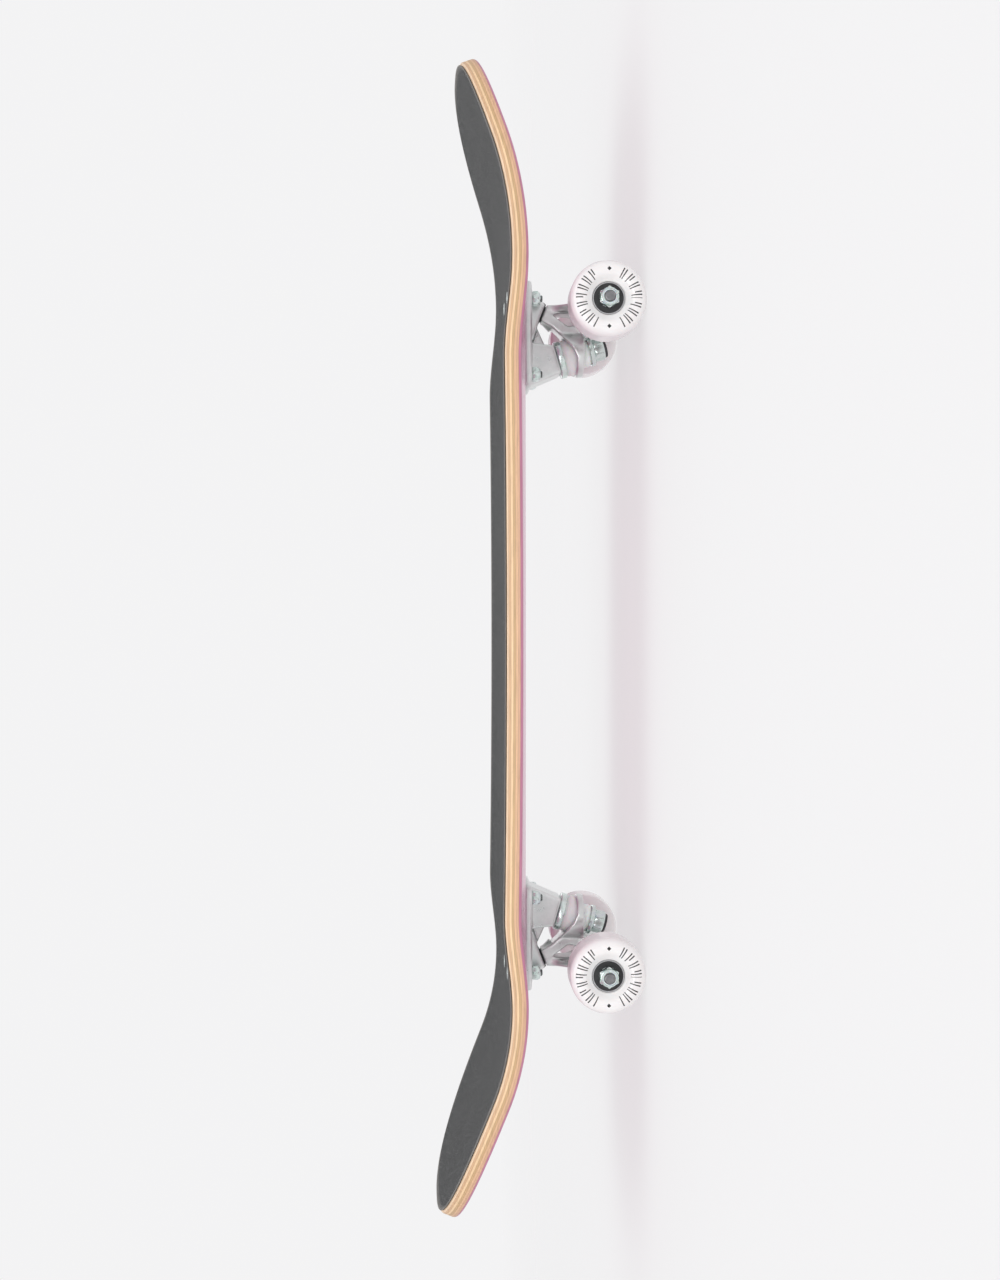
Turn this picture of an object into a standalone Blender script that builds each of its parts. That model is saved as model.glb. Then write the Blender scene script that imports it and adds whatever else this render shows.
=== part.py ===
"""A complete street skateboard: pressed maple deck, grip tape, two trucks, four wheels and their hardware.

The board stands on its wheels: +X is the nose, +Z is up, and the origin is on the ground under the middle
of the deck. Each truck is drawn in a frame of its own, whose origin is the underside of the deck in the
middle of the bolt pattern, with x running out to the board's end and z running down, away from the deck.
"""

import math

import bmesh
import bpy
from mathutils import Matrix, Vector

MM = 0.001

# Clearances
GAP = 0.3 * MM            # air between two pieces that touch
RUNNING_GAP = 0.1 * MM    # radial play of a bearing on the axle
SWING_GAP = 1.1 * MM      # room for a steering piece to turn past a fixed one

# Deck
DECK_LENGTH = 820.0 * MM
DECK_WIDTH = 216.0 * MM
DECK_THICKNESS = 11.0 * MM
DECK_EDGE_ROUND = 2.4 * MM
NOSE_LEAD = 5.0 * MM             # how much further the nose reaches past its truck than the tail does
END_TAPER_LENGTH = 112.0 * MM    # length over which an end rounds off to its tip
END_ROUNDNESS = 2.75             # exponent of the superellipse that rounds an end
NOSE_ANGLE = math.radians(22.0)
TAIL_ANGLE = math.radians(19.1)
NOSE_BEND_RADIUS = 170.0 * MM
TAIL_BEND_RADIUS = 250.0 * MM
NOSE_PAST_BOLTS = 7.0 * MM       # from the outer bolts to where the nose starts to bend
TAIL_PAST_BOLTS = 13.5 * MM
CONCAVE_MIDDLE = 6.3 * MM        # how far the rails stand above the flat strip, halfway along
CONCAVE_BOLTS = 7.7 * MM         # the same at the inner bolts
CONCAVE_KICK = 2.3 * MM          # the same over the kicks
FLAT_STRIP_WIDTH = 62.0 * MM
CONCAVE_POWER = 1.7
END_CORNER_SHARE = 0.34          # share of the width where the rows across turn into the rounded end
RAIL_EDGE_ANGLE = math.radians(50)

# Grip tape
GRIP_THICKNESS = 0.9 * MM
GRIP_INSET = 1.6 * MM

# Bolt pattern and hardware
WHEELBASE = 374.65 * MM          # between the two trucks' inner bolts
BOLT_SPACING_X = 53.975 * MM
BOLT_SPACING_Y = 41.275 * MM
BOLT_DIAMETER = 4.83 * MM
BOLT_LENGTH = 25.4 * MM
BOLT_HEAD_DIAMETER = 9.4 * MM
BOLT_HEAD_DEPTH = 2.8 * MM
LOCK_NUT_FLATS = 9.53 * MM
LOCK_NUT_HEIGHT = 5.6 * MM

# Wheels, bearings and axles
WHEEL_DIAMETER = 52.0 * MM
WHEEL_WIDTH = 31.5 * MM
WHEEL_TREAD = 18.0 * MM
WHEEL_SIDES = 28
WHEEL_HUB_RIM = 0.9 * MM         # chamfer round the bearing seat
WHEEL_HUB_RISE = 0.6 * MM        # how far that chamfer stands out past the bearing
WHEEL_DISH_WIDTH = 2.7 * MM      # the slope from the hub out to the face
WHEEL_FACE_STEP = 1.3 * MM       # how far the foot of that slope's outer end lies under the face
WHEEL_FACE_DIAMETER = 37.4 * MM  # where the side starts to round over
WHEEL_SHOULDER_DIAMETER = 48.4 * MM
WHEEL_SHOULDER_DEPTH = 2.8 * MM
WHEEL_CORE_LIP = 1.6 * MM        # how far the shoulder between the bearings stands in past them
BEARING_OUTER_DIAMETER = 22.0 * MM
BEARING_WIDTH = 7.0 * MM
BEARING_SPACING = 10.0 * MM
AXLE_DIAMETER = 7.94 * MM
AXLE_LENGTH = 216.0 * MM
AXLE_CHAMFER = 0.8 * MM
AXLE_WASHER_DIAMETER = 12.6 * MM
AXLE_WASHER_THICKNESS = 0.9 * MM
AXLE_NUT_FLATS = 12.7 * MM
AXLE_NUT_HEIGHT = 6.9 * MM
HANGER_WIDTH = 146.0 * MM

# Baseplate, in the truck's frame
TRUCK_HEIGHT = 52.0 * MM         # from the deck's underside to the middle of the axle
AXLE_X = 13.2 * MM
PLATE_INNER_X = -36.4 * MM
PLATE_OUTER_X = 40.0 * MM
PLATE_WIDTH = 56.0 * MM
PLATE_THICKNESS = 5.3 * MM
PLATE_CORNER_RADIUS = 9.0 * MM
BLOCK_WIDTH = 27.0 * MM          # the pedestal under the kingpin
BLOCK_SETBACK = 3.0 * MM         # from the plate's inner edge to the pedestal's
BLOCK_FOOT_RISE = 1.2 * MM       # upright part of the pedestal's inner face
BLOCK_INNER_REACH = 10.4 * MM    # from the kingpin's axis to the seat's inner edge
BLOCK_OUTER_REACH = 10.0 * MM    # from the kingpin's axis to the seat's outer edge
BLOCK_HEEL_X = -3.4 * MM         # foot of the pedestal's outer face
BLOCK_HEEL_RISE = 3.4 * MM
BOSS_WIDTH = 19.5 * MM           # the housing of the pivot cup
BOSS_INNER_X = -1.6 * MM
BOSS_INNER_RISE = 2.2 * MM
BOSS_OUTER_X = 36.0 * MM
BOSS_DRAFT = 0.6 * MM            # how much wider the boss is where it sinks into the plate
WEB_WIDTH = 4.4 * MM             # the rib between the pedestal and the boss
WEB_INNER_X = -5.0 * MM
WEB_OUTER_X = 9.6 * MM
WEB_INNER_RISE = 12.0 * MM
WEB_OUTER_RISE = 5.4 * MM

# Kingpin and what it clamps, in the truck's frame
KINGPIN_SEAT = Vector((-14.2 * MM, 0.0, 25.0 * MM))
KINGPIN_TILT = math.radians(15.5)
KINGPIN_DIAMETER = 9.525 * MM
KINGPIN_HEAD_FLATS = 14.3 * MM
KINGPIN_HEAD_HEIGHT = 5.4 * MM
KINGPIN_HEAD_COVER = 17.6 * MM   # metal between the kingpin's head and its seat
KINGPIN_NUT_FLATS = 14.3 * MM
KINGPIN_NUT_HEIGHT = 9.6 * MM
LOWER_WASHER_DIAMETER = 27.0 * MM
UPPER_WASHER_DIAMETER = 21.2 * MM
WASHER_THICKNESS = 1.8 * MM
WASHER_LIP_HEIGHT = 1.3 * MM
WASHER_LIP_WALL = 1.35 * MM
WASHER_LIP_DRAFT = 0.2 * MM
WASHER_EDGE = 0.6 * MM           # chamfer round the washer's flat side
LOWER_BUSHING_DIAMETER = 26.0 * MM
UPPER_BUSHING_DIAMETER = 20.0 * MM
UPPER_BUSHING_HEIGHT = 6.2 * MM
BUSHING_SEAT_HEIGHT = 0.8 * MM   # straight part of a bushing inside its washer's lip
BUSHING_TAPER_HEIGHT = 3.6 * MM  # height at which the lower bushing reaches its full width

# Hanger, in the truck's frame
RING_CENTRE = Vector((-9.7 * MM, 0.0, 41.3 * MM))
RING_THICKNESS = 4.0 * MM
RING_DIAMETER = 32.6 * MM
RING_HOLE_DIAMETER = 15.4 * MM
RING_LIP = 0.8 * MM              # height of the rim round each bushing's seat
PIVOT_MOUTH = Vector((19.7 * MM, 0.0, 14.1 * MM))
MOUTH_TILT = math.radians(21.8)
MOUTH_LENGTH = 11.6 * MM
PIVOT_PEG_DIAMETER = 10.4 * MM
PIVOT_PEG_DEPTH = 8.7 * MM
PIVOT_CUP_WALL = 1.4 * MM
ARM_WIDTH = 17.0 * MM
ARM_THICKNESS = 5.2 * MM
BODY_MIDDLE_DIAMETER = 19.2 * MM
BODY_SHOULDER_DIAMETER = 20.4 * MM
BODY_NECK_DEPTH = 0.6 * MM       # how much slimmer than its middle the body is beside a shoulder
SHOULDER_LENGTH = 7.0 * MM
SHOULDER_TO_NECK = 5.0 * MM
SHOULDER_CHAMFER = 1.6 * MM
RIB_SPAN = 118.0 * MM            # the fin that carries the arm's load out along the body
RIB_MARGIN = 0.5 * MM            # how much further the fin's foot reaches than the arm's side
RIB_FOOT_HEIGHT = 6.0 * MM
RIB_MIDDLE_DROP = 12.0 * MM      # from the axle to the fin's edge a quarter of the way out
RIB_END_DROP = 5.0 * MM
RIB_DEPTH = 1.0 * MM             # how far past the axle the fin reaches into the body
STRUT_EDGE = [                   # the arm's inner edge, from the pivot to the ring
    Vector((9.4 * MM, 20.3 * MM)),
    Vector((3.5 * MM, 27.0 * MM)),
    Vector((-1.6 * MM, 31.7 * MM)),
    Vector((-8.0 * MM, 36.3 * MM)),
]
STRUT_HIP_DROP = 8.0 * MM        # from the axle to where the arm's outer face runs into the body
STRUT_NOTCH_X = 1.5 * MM         # the notch between the ring and the body
STRUT_NOTCH_DEPTH = 1.6 * MM
SKIRT_X = -13.5 * MM             # where the wall round the bushing's seat ends
WINDOW_OUTLINE = [               # the opening through the arm
    Vector((18.6 * MM, 21.8 * MM)),
    Vector((17.4 * MM, 22.0 * MM)),
    Vector((9.6 * MM, 33.0 * MM)),
    Vector((10.4 * MM, 38.6 * MM)),
    Vector((18.6 * MM, 38.6 * MM)),
]

# Facets of the round pieces
FINE = 24
PLAIN = 20
SMALL = 12
BALL_STEPS = 3
CORNER_STEPS = 4
SMOOTH_ANGLE = math.radians(35)

# Rows and columns of the deck's sheet
KICK_ROWS = 9
FADE_ROWS = 2
MIDDLE_ROWS = 4
RAIL_COLUMNS = [0.55, 0.8, 1.0]  # shares of the half width, outside the flat strip

# Places worked out from the sizes above
AXLE_HEIGHT = WHEEL_DIAMETER / 2 * math.cos(math.pi / WHEEL_SIDES)
DECK_BOTTOM = AXLE_HEIGHT + TRUCK_HEIGHT
DECK_TOP = DECK_BOTTOM + DECK_THICKNESS
RAIL_REACH = (DECK_WIDTH - FLAT_STRIP_WIDTH) / 2
RAIL_LEAN = math.atan(CONCAVE_BOLTS * CONCAVE_POWER / RAIL_REACH)
TOP_WIDTH = DECK_WIDTH - 2 * DECK_THICKNESS * math.sin(RAIL_LEAN)
TRUCKS_MIDDLE = -NOSE_LEAD / 2
TRUCK_OFFSET = (WHEELBASE + BOLT_SPACING_X) / 2
OUTER_BOLTS = TRUCK_OFFSET + BOLT_SPACING_X / 2
NOSE_KICK_START = OUTER_BOLTS + NOSE_PAST_BOLTS
TAIL_KICK_START = OUTER_BOLTS + TAIL_PAST_BOLTS
INNER_BOLTS = TRUCK_OFFSET - BOLT_SPACING_X / 2
BEARING_HALF_SPAN = BEARING_SPACING / 2 + BEARING_WIDTH
WHEEL_MIDDLE = HANGER_WIDTH / 2 + AXLE_WASHER_THICKNESS + 2 * RUNNING_GAP + BEARING_HALF_SPAN
OUTER_WASHER_Y = WHEEL_MIDDLE + BEARING_HALF_SPAN + RUNNING_GAP
AXLE_NUT_Y = OUTER_WASHER_Y + AXLE_WASHER_THICKNESS + RUNNING_GAP
STEER_DIRECTION = (RING_CENTRE - PIVOT_MOUTH).normalized()
STEER_TILT = math.atan2(STEER_DIRECTION.x, STEER_DIRECTION.z)
LOWER_BUSHING_BASE = WASHER_THICKNESS + 2 * GAP
RING_LOWER_Z = RING_CENTRE.z - RING_THICKNESS / 2
RING_UPPER_Z = RING_CENTRE.z + RING_THICKNESS / 2
RING_ALONG_KINGPIN = (RING_UPPER_Z - KINGPIN_SEAT.z) / math.cos(KINGPIN_TILT)
UPPER_WASHER_BASE = RING_ALONG_KINGPIN + UPPER_BUSHING_HEIGHT + GAP
KINGPIN_NUT_BASE = UPPER_WASHER_BASE + WASHER_THICKNESS + GAP

PARTS = "skateboard"
CUTTERS = "cutters"


# ---------------------------------------------------------------- scene, materials and placing

def clear_scene():
    for found in list(bpy.data.objects):
        bpy.data.objects.remove(found, do_unlink=True)
    for name in (PARTS, CUTTERS):
        collection = bpy.data.collections.new(name)
        bpy.context.scene.collection.children.link(collection)


def material(name, colour, roughness, metallic=0.0):
    made = bpy.data.materials.new(name)
    made.use_nodes = True
    shader = made.node_tree.nodes["Principled BSDF"]
    shader.inputs["Base Color"].default_value = (*colour, 1.0)
    shader.inputs["Roughness"].default_value = roughness
    shader.inputs["Metallic"].default_value = metallic
    return made


def add_object(name, mesh, finish=None):
    """A part when it has a finish, a hidden cutter when it has none."""
    made = bpy.data.objects.new(name, mesh)
    if finish is None:
        made.hide_render = True
        made.display_type = "WIRE"
        bpy.data.collections[CUTTERS].objects.link(made)
    else:
        mesh.materials.append(finish)
        bpy.data.collections[PARTS].objects.link(made)
    return made


def add_empty(name, place):
    made = bpy.data.objects.new(name, None)
    made.matrix_world = place
    bpy.data.collections[PARTS].objects.link(made)
    return made


def attach(piece, holder):
    bpy.context.view_layer.update()
    piece.parent = holder
    piece.matrix_parent_inverse = holder.matrix_world.inverted()


def smooth_round_faces(piece):
    piece.data.shade_smooth()
    piece.data.set_sharp_from_angle(angle=SMOOTH_ANGLE)


# ---------------------------------------------------------------- shapes

def turned(name, profile, sides, place, finish=None, closed=False):
    """A profile of (radius, height) points, run down its outer side, turned about the place's z axis."""
    mesh = bpy.data.meshes.new(name)
    points = [(radius, 0.0, height) for radius, height in profile]
    edges = [(index, index + 1) for index in range(len(points) - 1)]
    if closed:
        edges.append((len(points) - 1, 0))
    mesh.from_pydata(points, edges, [])
    made = add_object(name, mesh, finish)
    made.matrix_world = place
    screw = made.modifiers.new("Turn", "SCREW")
    screw.axis = "Z"
    screw.steps = sides
    screw.render_steps = sides
    screw.use_merge_vertices = True
    screw.merge_threshold = 0.00001
    screw.use_smooth_shade = False
    return made


def cylinder(name, radius, bottom, top, sides, place, finish=None):
    return turned(name, [(0.0, top), (radius, top), (radius, bottom), (0.0, bottom)], sides, place, finish)


def ring(name, inner, outer, bottom, top, sides, place, finish=None):
    profile = [(inner, top), (outer, top), (outer, bottom), (inner, bottom)]
    return turned(name, profile, sides, place, finish, closed=True)


def outline_prism(name, outline, thickness, place, finish=None):
    """A flat outline in the place's xy plane, with half its thickness on either side of it."""
    curve = bpy.data.curves.new(name, "CURVE")
    curve.dimensions = "2D"
    curve.fill_mode = "BOTH"
    curve.extrude = thickness / 2
    spline = curve.splines.new("POLY")
    spline.points.add(len(outline) - 1)
    for point, (across, along) in zip(spline.points, outline):
        point.co = (across, along, 0.0, 1.0)
    spline.use_cyclic_u = True
    drawn = bpy.data.objects.new(name + "_outline", curve)
    bpy.context.scene.collection.objects.link(drawn)
    bpy.context.view_layer.update()
    graph = bpy.context.evaluated_depsgraph_get()
    mesh = bpy.data.meshes.new_from_object(drawn.evaluated_get(graph))
    bpy.data.objects.remove(drawn, do_unlink=True)
    shape = bmesh.new()
    shape.from_mesh(mesh)
    bmesh.ops.remove_doubles(shape, verts=shape.verts, dist=0.00001)
    shape.to_mesh(mesh)
    shape.free()
    mesh.name = name
    mesh.materials.clear()
    made = add_object(name, mesh, finish)
    made.matrix_world = place
    return made


def hexagon(name, flats, bottom, top, place, finish=None):
    """A hexagonal prism, measured across its flats, along the place's z axis."""
    shape = bmesh.new()
    radius = flats / math.sqrt(3)
    bmesh.ops.create_cone(
        shape, cap_ends=True, segments=6, radius1=radius, radius2=radius, depth=top - bottom,
        matrix=Matrix.Translation((0.0, 0.0, (top + bottom) / 2)),
    )
    mesh = bpy.data.meshes.new(name)
    shape.to_mesh(mesh)
    shape.free()
    made = add_object(name, mesh, finish)
    made.matrix_world = place
    return made


def nut(name, flats, height, bore_radius, place, finish):
    made = hexagon(name, flats, 0.0, height, place, finish)
    bore = cylinder(name + "_bore", bore_radius, -height, 2 * height, SMALL, place)
    cut(made, bore)
    return made


def cut(piece, cutter):
    boolean = piece.modifiers.new("Cut " + cutter.name, "BOOLEAN")
    boolean.operation = "DIFFERENCE"
    boolean.solver = "EXACT"
    boolean.object = cutter


def fuse(piece, other):
    boolean = piece.modifiers.new("Join " + other.name, "BOOLEAN")
    boolean.operation = "UNION"
    boolean.solver = "EXACT"
    boolean.object = other


def rounded_rectangle(low, high, radius):
    corners = [
        (high[0] - radius, high[1] - radius, 0.0),
        (low[0] + radius, high[1] - radius, 0.5),
        (low[0] + radius, low[1] + radius, 1.0),
        (high[0] - radius, low[1] + radius, 1.5),
    ]
    outline = []
    for x, y, start in corners:
        for step in range(CORNER_STEPS + 1):
            turn = math.pi * (start + 0.5 * step / CORNER_STEPS)
            outline.append((x + radius * math.cos(turn), y + radius * math.sin(turn)))
    return outline


# ---------------------------------------------------------------- deck and grip tape

def smooth_step(value):
    value = min(max(value, 0.0), 1.0)
    return value * value * (3.0 - 2.0 * value)


def kick_height(distance, angle, radius):
    """Height gained past the start of a bend: an arc, then a straight slope."""
    if distance <= 0.0:
        return 0.0
    arc_run = radius * math.sin(angle)
    if distance < arc_run:
        return radius - math.sqrt(radius * radius - distance * distance)
    return radius * (1.0 - math.cos(angle)) + (distance - arc_run) * math.tan(angle)


def concave_depth(x):
    """Height of the rails over the flat strip at a distance x from the trucks' middle."""
    towards_bolts = min(abs(x) / INNER_BOLTS, 1.0)
    body = CONCAVE_MIDDLE + (CONCAVE_BOLTS - CONCAVE_MIDDLE) * towards_bolts ** 2
    kick_start = NOSE_KICK_START if x > 0.0 else TAIL_KICK_START
    fade = smooth_step((abs(x) - INNER_BOLTS) / (kick_start - INNER_BOLTS))
    return body + (CONCAVE_KICK - body) * fade


def deck_top_height(x, y):
    """Height of the deck's upper face over its flat strip, at world x and y."""
    along = x - TRUCKS_MIDDLE
    nose = kick_height(along - NOSE_KICK_START, NOSE_ANGLE, NOSE_BEND_RADIUS)
    tail = kick_height(-along - TAIL_KICK_START, TAIL_ANGLE, TAIL_BEND_RADIUS)
    across = max(abs(y) - FLAT_STRIP_WIDTH / 2, 0.0) / RAIL_REACH
    return nose + tail + concave_depth(along) * across ** CONCAVE_POWER


def half_width(from_tip):
    """Half the width of the outline at a distance from a tip."""
    reach = min(max(1.0 - from_tip / END_TAPER_LENGTH, 0.0), 1.0)
    return TOP_WIDTH / 2 * (1.0 - reach ** END_ROUNDNESS) ** (1.0 / END_ROUNDNESS)


def tip_distance(half):
    """The inverse of half_width: how far from the tip the outline is this wide."""
    share = min(half / (TOP_WIDTH / 2), 1.0)
    return END_TAPER_LENGTH * (1.0 - (1.0 - share ** END_ROUNDNESS) ** (1.0 / END_ROUNDNESS))


def spread(start, end, cells):
    return [start + (end - start) * step / cells for step in range(cells)]


def pressed_sheet(name, inset, finish):
    """The deck's upper face as one open sheet, drawn in from the outline by the inset.

    Rows run across the board. Towards a tip they bow outwards, so that the last row is the rounded end.
    """
    tip_inset_nose = DECK_THICKNESS * math.sin(NOSE_ANGLE) + inset
    tip_inset_tail = DECK_THICKNESS * math.sin(TAIL_ANGLE) + inset
    nose_tip = DECK_LENGTH / 2 - tip_inset_nose
    tail_tip = -DECK_LENGTH / 2 + tip_inset_tail
    corner_half = TOP_WIDTH * END_CORNER_SHARE
    corner = tip_distance(corner_half)
    nose_kick = TRUCKS_MIDDLE + NOSE_KICK_START
    tail_kick = TRUCKS_MIDDLE - TAIL_KICK_START
    nose_bolts = TRUCKS_MIDDLE + INNER_BOLTS
    tail_bolts = TRUCKS_MIDDLE - INNER_BOLTS
    rows = spread(tail_tip + corner, tail_kick, KICK_ROWS)
    rows += spread(tail_kick, tail_bolts, FADE_ROWS)
    rows += spread(tail_bolts, nose_bolts, MIDDLE_ROWS)
    rows += spread(nose_bolts, nose_kick, FADE_ROWS)
    rows += spread(nose_kick, nose_tip - corner, KICK_ROWS)
    rows.append(nose_tip - corner)

    side = [FLAT_STRIP_WIDTH / TOP_WIDTH, *RAIL_COLUMNS]
    shares = [-share for share in reversed(side)] + [0.0] + side

    sheet = bmesh.new()
    bmesh.ops.create_grid(sheet, x_segments=len(rows) - 1, y_segments=len(shares) - 1, size=1.0)
    half = TOP_WIDTH / 2
    for vertex in sheet.verts:
        row = round((vertex.co.x + 1.0) / 2.0 * (len(rows) - 1))
        column = round((vertex.co.y + 1.0) / 2.0 * (len(shares) - 1))
        x = rows[row]
        share = shares[column]
        width_here = min(half_width(nose_tip - x), half_width(x - tail_tip))
        bow_half = corner - tip_distance(abs(share) * corner_half)
        towards_nose = max((x - nose_kick) / (nose_tip - corner - nose_kick), 0.0) ** 2
        towards_tail = max((tail_kick - x) / (tail_kick - tail_tip - corner), 0.0) ** 2
        x += bow_half * (towards_nose - towards_tail)
        y = share * width_here * (half - inset) / half
        vertex.co = (x, y, DECK_TOP + deck_top_height(x, y))
    bmesh.ops.recalc_face_normals(sheet, faces=sheet.faces)
    if sum(face.normal.z for face in sheet.faces) < 0.0:
        bmesh.ops.reverse_faces(sheet, faces=sheet.faces)
    mesh = bpy.data.meshes.new(name)
    sheet.to_mesh(mesh)
    sheet.free()
    return add_object(name, mesh, finish)


def thicken(piece, thickness, offset):
    solidify = piece.modifiers.new("Thickness", "SOLIDIFY")
    solidify.thickness = thickness
    solidify.offset = offset
    solidify.use_even_offset = True


def bolt_places():
    """World x and y of each mounting bolt, with its name."""
    places = []
    for end, outward in (("front", 1.0), ("rear", -1.0)):
        middle = TRUCKS_MIDDLE + outward * TRUCK_OFFSET
        for row, along in (("outer", 1.0), ("inner", -1.0)):
            for side, across in (("left", 1.0), ("right", -1.0)):
                x = middle + outward * along * BOLT_SPACING_X / 2
                places.append((f"{end}_{row}_{side}", x, across * BOLT_SPACING_Y / 2))
    return places


def make_deck_and_grip(maple, grit):
    deck = pressed_sheet("deck", 0.0, maple)
    thicken(deck, DECK_THICKNESS, -1.0)
    bevel = deck.modifiers.new("Rounded rail", "BEVEL")
    bevel.width = DECK_EDGE_ROUND
    bevel.segments = 1
    bevel.limit_method = "ANGLE"
    bevel.angle_limit = RAIL_EDGE_ANGLE

    grip = pressed_sheet("grip_tape", GRIP_INSET, grit)
    thicken(grip, GRIP_THICKNESS, 1.0 + 2.0 * GAP / GRIP_THICKNESS)

    surface = DECK_TOP + GAP + GRIP_THICKNESS
    head_radius = BOLT_HEAD_DIAMETER / 2 + GAP
    shank_radius = BOLT_DIAMETER / 2 + GAP
    for name, x, y in bolt_places():
        place = Matrix.Translation((x, y, surface))
        profile = [
            (0.0, GRIP_THICKNESS),
            (head_radius, GRIP_THICKNESS),
            (head_radius, -GAP),
            (shank_radius, -BOLT_HEAD_DEPTH - GAP),
            (shank_radius, -2 * DECK_THICKNESS),
            (0.0, -2 * DECK_THICKNESS),
        ]
        seat = turned(name + "_seat", profile, SMALL, place)
        cut(deck, seat)
        cut(grip, seat)
    smooth_round_faces(deck)
    smooth_round_faces(grip)


def make_mounting_hardware(black_steel, zinc):
    """The countersunk bolts, flush with the grip tape, and their lock nuts under the baseplates."""
    surface = DECK_TOP + GAP + GRIP_THICKNESS
    nut_top = DECK_BOTTOM - PLATE_THICKNESS - 2 * GAP
    for name, x, y in bolt_places():
        profile = [
            (0.0, 0.0),
            (BOLT_HEAD_DIAMETER / 2, 0.0),
            (BOLT_DIAMETER / 2, -BOLT_HEAD_DEPTH),
            (BOLT_DIAMETER / 2, -BOLT_LENGTH),
            (0.0, -BOLT_LENGTH),
        ]
        turned(name + "_bolt", profile, SMALL, Matrix.Translation((x, y, surface)), black_steel)
        place = Matrix.Translation((x, y, nut_top - LOCK_NUT_HEIGHT))
        nut(name + "_lock_nut", LOCK_NUT_FLATS, LOCK_NUT_HEIGHT, BOLT_DIAMETER / 2 + GAP, place, zinc)


# ---------------------------------------------------------------- truck

SIDE_VIEW = Matrix.Rotation(math.pi / 2, 4, "X")    # draws an outline's (x, y) as the truck's (x, z)


def kingpin_frame(truck):
    return truck @ Matrix.Translation(KINGPIN_SEAT) @ Matrix.Rotation(KINGPIN_TILT, 4, "Y")


def steer_frame(truck):
    """Origin in the middle of the pivot cup's mouth, z along the steering axis to the hanger's ring."""
    return truck @ Matrix.Translation(PIVOT_MOUTH) @ Matrix.Rotation(STEER_TILT, 4, "Y")


def axle_frame(truck):
    """Origin in the middle of the axle, z along it."""
    return truck @ Matrix.Translation((AXLE_X, 0.0, TRUCK_HEIGHT)) @ Matrix.Rotation(-math.pi / 2, 4, "X")


def mouth_point(along, away):
    """A truck-frame (x, z) point at a distance along the pivot mouth's line and away from its housing."""
    x = PIVOT_MOUTH.x + along * math.cos(MOUTH_TILT) - away * math.sin(MOUTH_TILT)
    z = PIVOT_MOUTH.z + along * math.sin(MOUTH_TILT) + away * math.cos(MOUTH_TILT)
    return (x, z)


def kingpin_point(across, along):
    """A truck-frame (x, z) point beside the kingpin, measured from its seat."""
    x = KINGPIN_SEAT.x + across * math.cos(KINGPIN_TILT) + along * math.sin(KINGPIN_TILT)
    z = KINGPIN_SEAT.z - across * math.sin(KINGPIN_TILT) + along * math.cos(KINGPIN_TILT)
    return (x, z)


def mouth_cutter(name, truck, away, depth):
    """Removes what lies on the far side of a plane parallel to the pivot mouth."""
    wide = 4 * MOUTH_LENGTH
    outline = [
        mouth_point(-wide, away), mouth_point(wide, away),
        mouth_point(wide, away + depth), mouth_point(-wide, away + depth),
    ]
    return outline_prism(name, outline, wide, truck @ SIDE_VIEW)


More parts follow.
